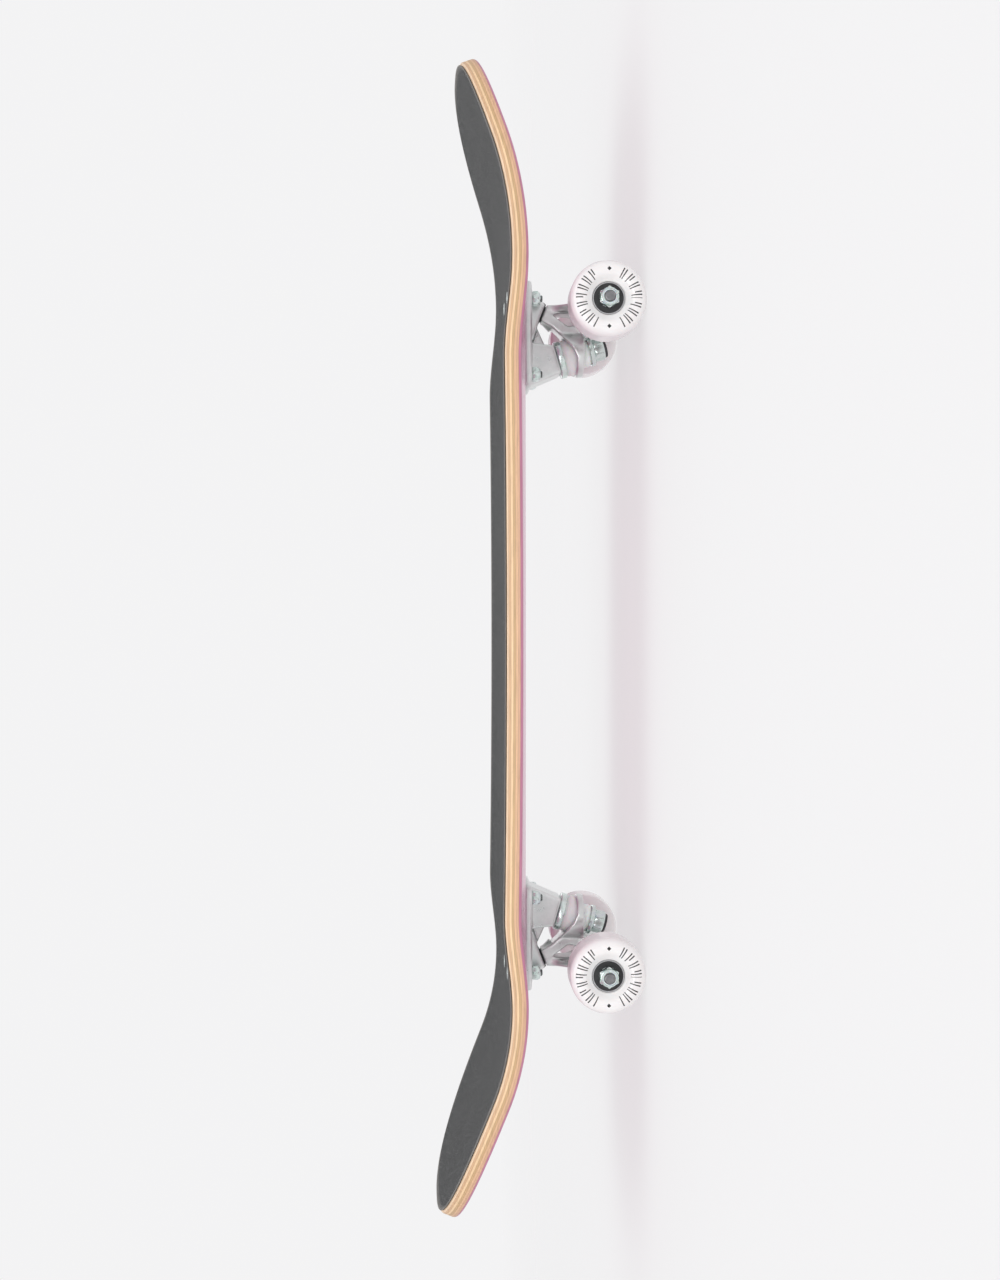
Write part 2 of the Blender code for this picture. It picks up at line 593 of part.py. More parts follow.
def make_baseplate(end, truck, cast):
    name = end + "_baseplate"
    low = (PLATE_INNER_X, -PLATE_WIDTH / 2)
    high = (PLATE_OUTER_X, PLATE_WIDTH / 2)
    plate_middle = truck @ Matrix.Translation((0.0, 0.0, PLATE_THICKNESS / 2 + GAP / 2))
    outline = rounded_rectangle(low, high, PLATE_CORNER_RADIUS)
    plate = outline_prism(name, outline, PLATE_THICKNESS - GAP, plate_middle, cast)

    buried = PLATE_THICKNESS / 2
    block_outline = [
        (PLATE_INNER_X + BLOCK_SETBACK, buried),
        (PLATE_INNER_X + BLOCK_SETBACK, PLATE_THICKNESS + BLOCK_FOOT_RISE),
        kingpin_point(-BLOCK_INNER_REACH, 0.0),
        kingpin_point(BLOCK_OUTER_REACH, 0.0),
        (BLOCK_HEEL_X, PLATE_THICKNESS + BLOCK_HEEL_RISE),
        (BOSS_INNER_X, buried),
    ]
    boss_outline = [
        (BOSS_INNER_X, buried),
        (BOSS_INNER_X + BOSS_DRAFT / 2, PLATE_THICKNESS + BOSS_INNER_RISE),
        mouth_point(-MOUTH_LENGTH / 2, 0.0),
        mouth_point(MOUTH_LENGTH / 2, 0.0),
        (BOSS_OUTER_X, PLATE_THICKNESS),
        (BOSS_OUTER_X + BOSS_DRAFT, buried),
    ]
    web_outline = [
        (WEB_INNER_X, buried),
        (WEB_INNER_X, PLATE_THICKNESS + WEB_INNER_RISE),
        (WEB_OUTER_X, PLATE_THICKNESS + WEB_OUTER_RISE),
        (WEB_OUTER_X, buried),
    ]
    for part, shape, width in (
        ("block", block_outline, BLOCK_WIDTH),
        ("boss", boss_outline, BOSS_WIDTH),
        ("web", web_outline, WEB_WIDTH),
    ):
        fuse(plate, outline_prism(f"{name}_{part}", shape, width, truck @ SIDE_VIEW))

    kingpin = kingpin_frame(truck)
    shank = cylinder(
        name + "_kingpin_hole", KINGPIN_DIAMETER / 2 + GAP, -2 * TRUCK_HEIGHT, TRUCK_HEIGHT, PLAIN, kingpin
    )
    head_radius = KINGPIN_HEAD_FLATS / math.sqrt(3) + GAP
    pocket = cylinder(
        name + "_head_pocket", head_radius, -TRUCK_HEIGHT, -KINGPIN_HEAD_COVER + GAP, PLAIN, kingpin
    )
    bore = turned(name + "_cup_bore", cup_profile(GAP, TRUCK_HEIGHT / 2), PLAIN, steer_frame(truck))
    for cutter in (shank, pocket, bore):
        cut(plate, cutter)
    hole = BOLT_DIAMETER / 2 + GAP
    for row in (-1.0, 1.0):
        for side in (-1.0, 1.0):
            place = truck @ Matrix.Translation((row * BOLT_SPACING_X / 2, side * BOLT_SPACING_Y / 2, 0.0))
            drill_name = f"{name}_drill_{row:.0f}_{side:.0f}"
            drill = cylinder(drill_name, hole, -TRUCK_HEIGHT, TRUCK_HEIGHT, SMALL, place)
            cut(plate, drill)
    smooth_round_faces(plate)
    return plate


def ball_end_profile(radius, top):
    """A rod whose end is a ball centred where the pivot peg's is."""
    centre = PIVOT_PEG_DIAMETER / 2 - PIVOT_PEG_DEPTH
    profile = [(0.0, top), (radius, top)]
    for step in range(BALL_STEPS):
        turn = 0.5 * math.pi * step / BALL_STEPS
        profile.append((radius * math.cos(turn), centre - radius * math.sin(turn)))
    profile.append((0.0, centre - radius))
    return profile


def cup_profile(grow, top):
    return ball_end_profile(PIVOT_PEG_DIAMETER / 2 + GAP + PIVOT_CUP_WALL + grow, top)


def peg_profile(grow, top):
    return ball_end_profile(PIVOT_PEG_DIAMETER / 2 + grow, top)


def make_pivot_cup(end, truck, rubber):
    name = end + "_pivot_cup"
    rim = MOUTH_LENGTH / 2
    cup = turned(name, cup_profile(0.0, rim), PLAIN, steer_frame(truck), rubber)
    cut(cup, turned(name + "_socket", peg_profile(GAP, 2 * rim), PLAIN, steer_frame(truck)))
    cut(cup, mouth_cutter(name + "_trim", truck, GAP, 2 * rim))
    smooth_round_faces(cup)
    return cup


def make_kingpin(end, truck, zinc):
    frame = kingpin_frame(truck)
    head_bottom = -KINGPIN_HEAD_COVER - KINGPIN_HEAD_HEIGHT
    pin = hexagon(
        end + "_kingpin", KINGPIN_HEAD_FLATS, head_bottom, -KINGPIN_HEAD_COVER, frame, zinc
    )
    shank = cylinder(
        end + "_kingpin_shank", KINGPIN_DIAMETER / 2, head_bottom + KINGPIN_HEAD_HEIGHT / 2,
        KINGPIN_NUT_BASE + KINGPIN_NUT_HEIGHT - GAP, PLAIN, frame
    )
    fuse(pin, shank)
    return pin


def cup_washer(name, diameter, base, opens_up, frame, zinc):
    """A pressed washer with a short lip round the bushing."""
    inner = KINGPIN_DIAMETER / 2 + GAP
    outer = diameter / 2
    lip = outer - WASHER_LIP_WALL
    top = base + WASHER_THICKNESS
    profile = [
        (inner, top),
        (lip, top),
        (lip + WASHER_LIP_DRAFT, top + WASHER_LIP_HEIGHT),
        (outer, top + WASHER_LIP_HEIGHT),
        (outer, base + WASHER_EDGE),
        (outer - WASHER_EDGE, base),
        (inner, base),
    ]
    if not opens_up:
        profile = [(radius, 2 * base + WASHER_THICKNESS - height) for radius, height in reversed(profile)]
    made = turned(name, profile, PLAIN, frame, zinc, closed=True)
    smooth_round_faces(made)
    return made


def make_bushings(end, truck, urethane):
    """Both bushings: barrels on the kingpin, cut level where the hanger's flat ring squeezes them."""
    frame = kingpin_frame(truck)
    inner = KINGPIN_DIAMETER / 2 + GAP
    seat = LOWER_WASHER_DIAMETER / 2 - WASHER_LIP_WALL - 2 * GAP
    waist = LOWER_BUSHING_DIAMETER / 2
    profile = [
        (inner, RING_ALONG_KINGPIN),
        (waist, RING_ALONG_KINGPIN),
        (waist, LOWER_BUSHING_BASE + BUSHING_TAPER_HEIGHT),
        (seat, LOWER_BUSHING_BASE + BUSHING_SEAT_HEIGHT),
        (seat, LOWER_BUSHING_BASE),
        (inner, LOWER_BUSHING_BASE),
    ]
    lower = turned(end + "_lower_bushing", profile, PLAIN, frame, urethane, closed=True)
    wide = 2 * LOWER_BUSHING_DIAMETER
    above = Matrix.Translation((RING_CENTRE.x, 0.0, RING_LOWER_Z - GAP + wide / 2))
    cut(lower, block(end + "_lower_bushing_level", wide, truck @ above))

    top = UPPER_WASHER_BASE - GAP
    seat = UPPER_WASHER_DIAMETER / 2 - WASHER_LIP_WALL - 2 * GAP
    waist = UPPER_BUSHING_DIAMETER / 2
    profile = [
        (inner, top),
        (seat, top),
        (seat, top - BUSHING_SEAT_HEIGHT),
        (waist, top - WASHER_LIP_HEIGHT - GAP),
        (waist, top - 2 * UPPER_BUSHING_HEIGHT),
        (inner, top - 2 * UPPER_BUSHING_HEIGHT),
    ]
    upper = turned(end + "_upper_bushing", profile, PLAIN, frame, urethane, closed=True)
    below = Matrix.Translation((RING_CENTRE.x, 0.0, RING_UPPER_Z + GAP - wide / 2))
    cut(upper, block(end + "_upper_bushing_level", wide, truck @ below))
    for bushing in (lower, upper):
        smooth_round_faces(bushing)
    return lower, upper


def block(name, size, place):
    """A cube used as a cutter."""
    shape = bmesh.new()
    bmesh.ops.create_cube(shape, size=size)
    mesh = bpy.data.meshes.new(name)
    shape.to_mesh(mesh)
    shape.free()
    made = add_object(name, mesh)
    made.matrix_world = place
    return made


def make_hanger(end, truck, cast):
    name = end + "_hanger"
    middle = BODY_MIDDLE_DIAMETER / 2
    shoulder = BODY_SHOULDER_DIAMETER / 2
    half = HANGER_WIDTH / 2
    upper_half = [
        (0.0, half),
        (shoulder - SHOULDER_CHAMFER, half),
        (shoulder, half - SHOULDER_CHAMFER),
        (shoulder, half - SHOULDER_LENGTH),
        (middle - BODY_NECK_DEPTH, half - SHOULDER_LENGTH - SHOULDER_TO_NECK),
    ]
    lower_half = [(radius, -height) for radius, height in reversed(upper_half)]
    profile = [*upper_half, (middle, 0.0), *lower_half]
    hanger = turned(name, profile, PLAIN, axle_frame(truck), cast)

    arm_end = mouth_point(0.0, SWING_GAP)[1]
    rib_x = mouth_point(MOUTH_LENGTH / 2, 0.0)[0] - ARM_THICKNESS / 2
    foot = ARM_WIDTH / 2 + RIB_MARGIN
    rib_outline = [
        (foot, arm_end),
        (foot, arm_end + RIB_FOOT_HEIGHT),
        (RIB_SPAN / 4, TRUCK_HEIGHT - RIB_MIDDLE_DROP),
        (RIB_SPAN / 2, TRUCK_HEIGHT - RIB_END_DROP),
        (RIB_SPAN / 2, TRUCK_HEIGHT + RIB_DEPTH),
    ]
    rib_outline += [(-across, height) for across, height in reversed(rib_outline)]
    front_view = Matrix.Rotation(math.pi / 2, 4, "Z") @ Matrix.Rotation(math.pi / 2, 4, "X")
    rib_place = truck @ Matrix.Translation((rib_x, 0.0, 0.0)) @ front_view
    fuse(hanger, outline_prism(name + "_rib", rib_outline, ARM_THICKNESS, rib_place))

    strut_outline = [
        mouth_point(MOUTH_LENGTH / 2 - GAP, 0.0),
        (rib_x + ARM_THICKNESS / 2 - GAP, TRUCK_HEIGHT - STRUT_HIP_DROP),
        (AXLE_X, TRUCK_HEIGHT),
        (STRUT_NOTCH_X, RING_UPPER_Z + STRUT_NOTCH_DEPTH),
        (RING_CENTRE.x, RING_UPPER_Z - GAP),
        *reversed(STRUT_EDGE),
        mouth_point(-MOUTH_LENGTH / 2, 0.0),
    ]
    fuse(hanger, outline_prism(name + "_strut", strut_outline, ARM_WIDTH, truck @ SIDE_VIEW))

    ring_radius = RING_DIAMETER / 2
    upright = truck @ Matrix.Translation((RING_CENTRE.x, 0.0, 0.0))
    cup = cylinder(name + "_cup", ring_radius, STRUT_EDGE[1].y, RING_UPPER_Z + RING_LIP, FINE, upright)
    skirt = RING_LOWER_Z - RING_LIP
    cup_trim = [
        STRUT_EDGE[0],
        STRUT_EDGE[1],
        STRUT_EDGE[3],
        (SKIRT_X, skirt),
        (RING_CENTRE.x - 2 * ring_radius, skirt),
        (RING_CENTRE.x - 2 * ring_radius, 0.0),
        (STRUT_EDGE[0].x, 0.0),
    ]
    cut(cup, outline_prism(name + "_cup_trim", cup_trim, 3 * ring_radius, truck @ SIDE_VIEW))
    fuse(hanger, cup)

    peg_top = (RING_CENTRE - PIVOT_MOUTH).length / 3
    peg = turned(name + "_peg", peg_profile(0.0, peg_top), PLAIN, steer_frame(truck))

    kingpin = kingpin_frame(truck)
    seat_room = cylinder(
        name + "_bushing_seat", LOWER_BUSHING_DIAMETER / 2 + SWING_GAP, -TRUCK_HEIGHT, 2 * TRUCK_HEIGHT,
        FINE, kingpin
    )
    level = Matrix.Translation((RING_CENTRE.x, 0.0, RING_LOWER_Z + TRUCK_HEIGHT))
    cut(seat_room, block(name + "_seat_level", 2 * TRUCK_HEIGHT, truck @ level))
    socket_room = cylinder(
        name + "_socket_room", UPPER_WASHER_DIAMETER / 2 + SWING_GAP, -TRUCK_HEIGHT, 2 * TRUCK_HEIGHT,
        PLAIN, kingpin
    )
    level = Matrix.Translation((RING_CENTRE.x, 0.0, RING_UPPER_Z - TRUCK_HEIGHT))
    cut(socket_room, block(name + "_socket_level", 2 * TRUCK_HEIGHT, truck @ level))
    window = outline_prism(name + "_window", WINDOW_OUTLINE, HANGER_WIDTH, truck @ SIDE_VIEW)
    ring_hole = cylinder(
        name + "_ring_hole", RING_HOLE_DIAMETER / 2, RING_LOWER_Z - RING_THICKNESS,
        RING_UPPER_Z + RING_THICKNESS, PLAIN, upright
    )
    axle_hole = cylinder(
        name + "_axle_hole", AXLE_DIAMETER / 2 + GAP, -HANGER_WIDTH, HANGER_WIDTH, PLAIN, axle_frame(truck)
    )
    arm_face = mouth_cutter(name + "_arm_face", truck, SWING_GAP - 4 * MOUTH_LENGTH, 4 * MOUTH_LENGTH)
    for cutter in (arm_face, seat_room, socket_room, window, ring_hole):
        cut(hanger, cutter)
    fuse(hanger, peg)
    cut(hanger, axle_hole)
    smooth_round_faces(hanger)
    return hanger


def make_axle(end, truck, steel):
    radius = AXLE_DIAMETER / 2
    half = AXLE_LENGTH / 2
    profile = [
        (0.0, half),
        (radius - AXLE_CHAMFER, half),
        (radius, half - AXLE_CHAMFER),
        (radius, AXLE_CHAMFER - half),
        (radius - AXLE_CHAMFER, -half),
        (0.0, -half),
    ]
    axle = turned(end + "_axle", profile, PLAIN, axle_frame(truck), steel)
    smooth_round_faces(axle)
    return axle


def wheel_profile():
    """Half of the wheel's section, from the bearing seat's edge round to the middle of the tread."""
    half = WHEEL_WIDTH / 2
    hub = BEARING_OUTER_DIAMETER / 2 + GAP + WHEEL_HUB_RIM
    return [
        (hub, BEARING_HALF_SPAN + WHEEL_HUB_RISE),
        (hub + WHEEL_DISH_WIDTH, half - WHEEL_FACE_STEP),
        (WHEEL_FACE_DIAMETER / 2, half),
        (WHEEL_SHOULDER_DIAMETER / 2, half - WHEEL_SHOULDER_DEPTH),
        (WHEEL_DIAMETER / 2, WHEEL_TREAD / 2),
    ]


def make_wheel(name, place, urethane):
    """A wheel with a stepped bore: a bearing seat at each face and a shoulder between them."""
    outer = wheel_profile()
    seat = BEARING_OUTER_DIAMETER / 2 + GAP
    shoulder = BEARING_SPACING / 2 - GAP
    bore = BEARING_OUTER_DIAMETER / 2 - WHEEL_CORE_LIP
    profile = outer + [(radius, -height) for radius, height in reversed(outer)]
    profile += [(seat, -BEARING_HALF_SPAN), (seat, -shoulder), (bore, -shoulder)]
    profile += [(bore, shoulder), (seat, shoulder), (seat, BEARING_HALF_SPAN)]
    half_facet = Matrix.Rotation(math.pi / WHEEL_SIDES, 4, "Z")
    wheel = turned(name, profile, WHEEL_SIDES, place @ half_facet, urethane, closed=True)
    smooth_round_faces(wheel)
    return wheel


def make_wheel_set(end, side, truck, axle_holder, finishes):
    """One wheel with its two bearings, and the washer and nut that keep them on the axle."""
    sign = 1.0 if side == "left" else -1.0
    world_sign = sign if end == "rear" else -sign
    facing = Matrix.Identity(4) if world_sign > 0.0 else Matrix.Rotation(math.pi, 4, "X")
    outward = axle_frame(truck) @ facing
    place = outward @ Matrix.Translation((0.0, 0.0, WHEEL_MIDDLE))
    spin = add_empty(f"{end}_{side}_wheel_axis", place)
    attach(spin, axle_holder)
    attach(make_wheel(f"{end}_{side}_wheel", place, finishes["wheel"]), spin)
    inner = AXLE_DIAMETER / 2 + RUNNING_GAP
    outer = BEARING_OUTER_DIAMETER / 2
    for where, start in (("outer", BEARING_SPACING / 2), ("inner", -BEARING_HALF_SPAN)):
        bearing = ring(
            f"{end}_{side}_{where}_bearing", inner, outer, start, start + BEARING_WIDTH, PLAIN, place,
            finishes["bearing"]
        )
        smooth_round_faces(bearing)
        attach(bearing, spin)
    washer_place = outward @ Matrix.Translation((0.0, 0.0, OUTER_WASHER_Y))
    washer = ring(
        f"{end}_{side}_axle_washer", inner, AXLE_WASHER_DIAMETER / 2, 0.0, AXLE_WASHER_THICKNESS, PLAIN,
        washer_place, finishes["zinc"]
    )
    smooth_round_faces(washer)
    attach(washer, axle_holder)
    nut_place = outward @ Matrix.Translation((0.0, 0.0, AXLE_NUT_Y))
    nut_name = f"{end}_{side}_axle_nut"
    bore = AXLE_DIAMETER / 2 + GAP
    axle_nut = nut(nut_name, AXLE_NUT_FLATS, AXLE_NUT_HEIGHT, bore, nut_place, finishes["zinc"])
    attach(axle_nut, axle_holder)


def make_truck(end, truck, finishes):
    mount = add_empty(end + "_truck_mount", truck)
    bpy.context.view_layer.update()
    steering = add_empty(end + "_steering_axis", steer_frame(truck))
    attach(steering, mount)
    frame = kingpin_frame(truck)
    fixed = [
        make_baseplate(end, truck, finishes["cast"]),
        make_pivot_cup(end, truck, finishes["rubber"]),
        make_kingpin(end, truck, finishes["zinc"]),
        cup_washer(end + "_lower_washer", LOWER_WASHER_DIAMETER, GAP, True, frame, finishes["zinc"]),
        *make_bushings(end, truck, finishes["bushing"]),
        cup_washer(
            end + "_upper_washer", UPPER_WASHER_DIAMETER, UPPER_WASHER_BASE, False, frame, finishes["zinc"]
        ),
        nut(
            end + "_kingpin_nut", KINGPIN_NUT_FLATS, KINGPIN_NUT_HEIGHT, KINGPIN_DIAMETER / 2 + GAP,
            frame @ Matrix.Translation((0.0, 0.0, KINGPIN_NUT_BASE)), finishes["zinc"]
        ),
    ]
    for piece in fixed:
        attach(piece, mount)
    for piece in (make_hanger(end, truck, finishes["cast"]), make_axle(end, truck, finishes["steel"])):
        attach(piece, steering)
    for side in ("left", "right"):
        make_wheel_set(end, side, truck, steering, finishes)


def make_finishes():
    return {
        "maple": material("maple", (0.79, 0.52, 0.29), 0.45),
        "grit": material("black grit", (0.09, 0.09, 0.095), 0.95),
        "cast": material("cast aluminium", (0.72, 0.73, 0.74), 0.38, 1.0),
        "zinc": material("zinc plate", (0.74, 0.80, 0.78), 0.24, 1.0),
        "steel": material("axle steel", (0.38, 0.38, 0.39), 0.35, 1.0),
        "black_steel": material("blackened steel", (0.06, 0.06, 0.065), 0.4, 0.8),
        "bearing": material("bearing seal", (0.03, 0.03, 0.033), 0.5),
        "rubber": material("pivot cup urethane", (0.10, 0.10, 0.11), 0.6),
        "bushing": material("clear white urethane", (0.86, 0.87, 0.85), 0.35),
        "wheel": material("white urethane", (0.93, 0.92, 0.90), 0.25),
    }


def main():
    clear_scene()
    finishes = make_finishes()
    make_deck_and_grip(finishes["maple"], finishes["grit"])
    make_mounting_hardware(finishes["black_steel"], finishes["zinc"])
    front = Matrix.Translation((TRUCKS_MIDDLE + TRUCK_OFFSET, 0.0, DECK_BOTTOM))
    rear = Matrix.Translation((TRUCKS_MIDDLE - TRUCK_OFFSET, 0.0, DECK_BOTTOM))
    make_truck("front", front @ Matrix.Rotation(math.pi, 4, "X"), finishes)
    make_truck("rear", rear @ Matrix.Rotation(math.pi, 4, "Y"), finishes)


main()
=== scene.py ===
# %% [markdown]
# # A street skateboard
#
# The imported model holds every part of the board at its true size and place. This lesson dresses it for a
# close look: pressed maple with its seven plies, gritty tape, two cast trucks and four poured wheels. Each
# step says what the piece is on a real board, how it could be made in Blender, and why it is made this way.

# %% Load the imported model
import math

import bmesh
import bpy
from mathutils import Matrix, Vector


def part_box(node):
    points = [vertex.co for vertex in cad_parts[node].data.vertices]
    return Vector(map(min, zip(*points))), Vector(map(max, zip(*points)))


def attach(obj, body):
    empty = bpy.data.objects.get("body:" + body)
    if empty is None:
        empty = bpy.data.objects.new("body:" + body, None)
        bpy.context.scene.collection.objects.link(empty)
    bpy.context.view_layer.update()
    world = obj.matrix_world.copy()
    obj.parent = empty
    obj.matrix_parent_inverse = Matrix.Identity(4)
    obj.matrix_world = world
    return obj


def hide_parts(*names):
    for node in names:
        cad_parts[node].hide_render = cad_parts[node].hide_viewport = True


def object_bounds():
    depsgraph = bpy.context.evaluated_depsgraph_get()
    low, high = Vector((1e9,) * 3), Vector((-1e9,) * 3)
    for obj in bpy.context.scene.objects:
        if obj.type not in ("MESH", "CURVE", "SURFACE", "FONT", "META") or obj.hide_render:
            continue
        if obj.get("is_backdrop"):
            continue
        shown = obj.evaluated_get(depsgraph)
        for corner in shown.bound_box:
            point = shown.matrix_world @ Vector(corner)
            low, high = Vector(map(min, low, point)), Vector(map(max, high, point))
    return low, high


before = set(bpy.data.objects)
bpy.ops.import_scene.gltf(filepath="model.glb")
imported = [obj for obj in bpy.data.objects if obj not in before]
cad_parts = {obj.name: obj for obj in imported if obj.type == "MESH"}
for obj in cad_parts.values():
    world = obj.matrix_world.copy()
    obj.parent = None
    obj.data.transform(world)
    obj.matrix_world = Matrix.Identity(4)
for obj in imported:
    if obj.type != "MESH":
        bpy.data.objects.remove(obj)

CAD_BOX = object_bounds()
MM = 0.001

# %% [markdown]
# ## Where things are
#
# Nothing is placed by eye. Each truck gets a frame of its own, with its origin on the underside of the deck
# in the middle of the four bolts, x running out to the end of the board and z running away from the deck.
# A piece that both trucks share is then made once and turned into place twice. Both turns are plain half
# turns, so no piece is mirrored and no face ends up inside out.

# %% Frames of the two trucks
def middle(node):
    low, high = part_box(node)
    return (low + high) / 2


DECK_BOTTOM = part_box("deck")[0].z
GRIP_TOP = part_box("front_outer_left_bolt")[1].z
TRUCK_TURNS = {"front": Matrix.Rotation(math.pi, 4, "X"), "rear": Matrix.Rotation(math.pi, 4, "Y")}


def truck_frame(end):
    outer = middle(f"{end}_outer_left_bolt")
    inner = middle(f"{end}_inner_left_bolt")
    return Matrix.Translation(((outer.x + inner.x) / 2, 0.0, DECK_BOTTOM)) @ TRUCK_TURNS[end]


TRUCKS = {end: truck_frame(end) for end in TRUCK_TURNS}
AXLES = {end: middle(f"{end}_axle") for end in TRUCKS}
BOLT_REACH = {end: abs(middle(f"{end}_outer_left_bolt").x - TRUCKS[end].translation.x) for end in TRUCKS}
for end, place in TRUCKS.items():
    print(end, "truck at x", round(place.translation.x, 4), "axle at", [round(v, 4) for v in AXLES[end]])

# %% [markdown]
# ## Small helpers for meshes
#
# Nearly every piece on a truck is turned on a lathe, so one helper spins a profile round the z axis. A full
# spin merges its first and last column, and the doubles that sit on the axis are merged after it. Another
# helper gathers several shapes into one, and a third turns a finished bmesh into a piece of the board.

# %% Shapes
def spun(profile, segments, closed=False):
    """Turns (radius, height) points about the z axis."""
    shape = bmesh.new()
    points = [shape.verts.new((radius, 0.0, height)) for radius, height in profile]
    pairs = list(zip(points, points[1:]))
    if closed:
        pairs.append((points[-1], points[0]))
    edges = [shape.edges.new(pair) for pair in pairs]
    bmesh.ops.spin(
        shape, geom=points + edges, cent=(0, 0, 0), axis=(0, 0, 1), angle=math.tau, steps=segments,
        use_merge=True, use_duplicate=False,
    )
    bmesh.ops.remove_doubles(shape, verts=shape.verts, dist=0.001 * MM)
    bmesh.ops.recalc_face_normals(shape, faces=shape.faces)
    return shape


def rounded(shape, edges, radius, segments):
    bmesh.ops.bevel(
        shape, geom=edges, offset=radius, segments=segments, affect="EDGES", profile=0.5, material=-1,
    )


def slab(outline, width, rounding=0.0, segments=3):
    """Draws an outline in a truck's x and z and gives it a width across the truck."""
    shape = bmesh.new()
    face = shape.faces.new([shape.verts.new((x, -width / 2, z)) for x, z in outline])
    grown = bmesh.ops.extrude_face_region(shape, geom=[face])["geom"]
    moved = [item for item in grown if isinstance(item, bmesh.types.BMVert)]
    bmesh.ops.translate(shape, verts=moved, vec=(0.0, width, 0.0))
    bmesh.ops.recalc_face_normals(shape, faces=shape.faces)
    if rounding:
        rounded(shape, shape.edges[:], rounding, segments)
    return shape


def drum(radius, bottom, top, segments=64):
    shape = bmesh.new()
    bmesh.ops.create_cone(
        shape, cap_ends=True, segments=segments, radius1=radius, radius2=radius, depth=top - bottom,
        matrix=Matrix.Translation((0.0, 0.0, (top + bottom) / 2)),
    )
    return shape


def placed(shape, place):
    bmesh.ops.transform(shape, matrix=place, verts=shape.verts)
    return shape


# %% From shapes to pieces of the board
def gathered(shapes):
    """Puts several shapes into one bmesh."""
    whole = bmesh.new()
    for shape in shapes:
        carrier = bpy.data.meshes.new("carrier")
        shape.to_mesh(carrier)
        shape.free()
        whole.from_mesh(carrier)
        bpy.data.meshes.remove(carrier)
    return whole


def keep(name, shape, materials, body, replaced=(), sharp=40.0):
    """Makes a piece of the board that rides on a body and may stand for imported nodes."""
    mesh = bpy.data.meshes.new(name)
    shape.to_mesh(mesh)
    shape.free()
    for finish in materials:
        mesh.materials.append(finish)
    mesh.shade_smooth()
    mesh.set_sharp_from_angle(angle=math.radians(sharp))
    piece = bpy.data.objects.new(name, mesh)
    bpy.context.scene.collection.objects.link(piece)
    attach(piece, body)
    if replaced:
        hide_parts(*replaced)
    return piece


print("mesh helpers ready")

# %% [markdown]
# ## Small helpers for materials
#
# A procedural material is a short chain of nodes. These helpers keep each chain readable: one adds a node
# and sets its values, one wires two sockets, and one builds a colour ramp from a list of stops.

# %% Helpers that wire nodes
def add(tree, kind, **values):
    made = tree.nodes.new("ShaderNode" + kind)
    for key, value in values.items():
        if hasattr(made, key):
            setattr(made, key, value)
        else:
            made.inputs[key.replace("_", " ")].default_value = value
    return made


def wire(tree, output, target):
    tree.links.new(output, target)
    return target


def maths(tree, operation, first, second=None, clamp=False):
    made = tree.nodes.new("ShaderNodeMath")
    made.operation = operation
    made.use_clamp = clamp
    for socket, value in zip(made.inputs, (first, second)):
        if value is None:
            continue
        if isinstance(value, (int, float)):
            socket.default_value = value
        else:
            tree.links.new(value, socket)
    return made.outputs[0]


def blend(tree, mask, first, second, kind="MIX"):
    """Mixes two colours, each a socket or a plain colour, by a mask."""
    made = tree.nodes.new("ShaderNodeMix")
    made.data_type = "RGBA"
    made.blend_type = kind
    for socket, value in ((made.inputs[0], mask), (made.inputs[6], first), (made.inputs[7], second)):
        if isinstance(value, bpy.types.NodeSocket):
            tree.links.new(value, socket)
        elif isinstance(value, (int, float)):
            socket.default_value = value
        else:
            socket.default_value = (*value, 1.0)
    return made.outputs[2]


def ramp(tree, value, stops, interpolation="LINEAR"):
    """A colour ramp whose stops are (position, colour)."""
    made = tree.nodes.new("ShaderNodeValToRGB")
    made.color_ramp.interpolation = interpolation
    elements = made.color_ramp.elements
    while len(elements) < len(stops):
        elements.new(1.0)
    for element, (position, colour) in zip(elements, stops):
        element.position = position
        element.color = (*colour, 1.0)
    tree.links.new(value, made.inputs[0])
    return made.outputs[0]


def span(tree, value, low, high, to_low=0.0, to_high=1.0):
    """Maps a value from one range to another and clamps it."""
    made = tree.nodes.new("ShaderNodeMapRange")
    tree.links.new(value, made.inputs[0])
    for socket, number in zip(made.inputs[1:5], (low, high, to_low, to_high)):
        socket.default_value = number
    return made.outputs[0]


def new_material(name, roughness=0.5, metallic=0.0, colour=(0.8, 0.8, 0.8)):
    made = bpy.data.materials.new(name)
    made.use_nodes = True
    shader = made.node_tree.nodes["Principled BSDF"]
    shader.inputs["Roughness"].default_value = roughness
    shader.inputs["Metallic"].default_value = metallic
    shader.inputs["Base Color"].default_value = (*colour, 1.0)
    return made, made.node_tree, shader


def roughen(tree, shader, value, low, high, smooth, rough):
    """Lets the roughness follow a value."""
    wire(tree, span(tree, value, low, high, smooth, rough), shader.inputs["Roughness"])


def relief(tree, shader, height, distance, strength=1.0):
    bump = tree.nodes.new("ShaderNodeBump")
    bump.inputs["Distance"].default_value = distance
    bump.inputs["Strength"].default_value = strength
    tree.links.new(height, bump.inputs["Height"])
    tree.links.new(bump.outputs[0], shader.inputs["Normal"])


# %% [markdown]
# ## Shared effects
#
# Two effects turn up on many finishes, so each is one node group with named inputs. **Mottle** gives a slow
# cloudy change and a fine grain, from which castings, plating and urethane take their small unevenness.
# **Figure** gives the streaks and pores of maple, which run along the board and are stretched that way.

# %% Node groups
def new_group(name, inputs, outputs):
    tree = bpy.data.node_groups.new(name, "ShaderNodeTree")
    for label, value in inputs:
        socket = tree.interface.new_socket(label, in_out="INPUT", socket_type="NodeSocketFloat")
        socket.default_value = value
    for label in outputs:
        tree.interface.new_socket(label, in_out="OUTPUT", socket_type="NodeSocketFloat")
    return tree, tree.nodes.new("NodeGroupInput"), tree.nodes.new("NodeGroupOutput")


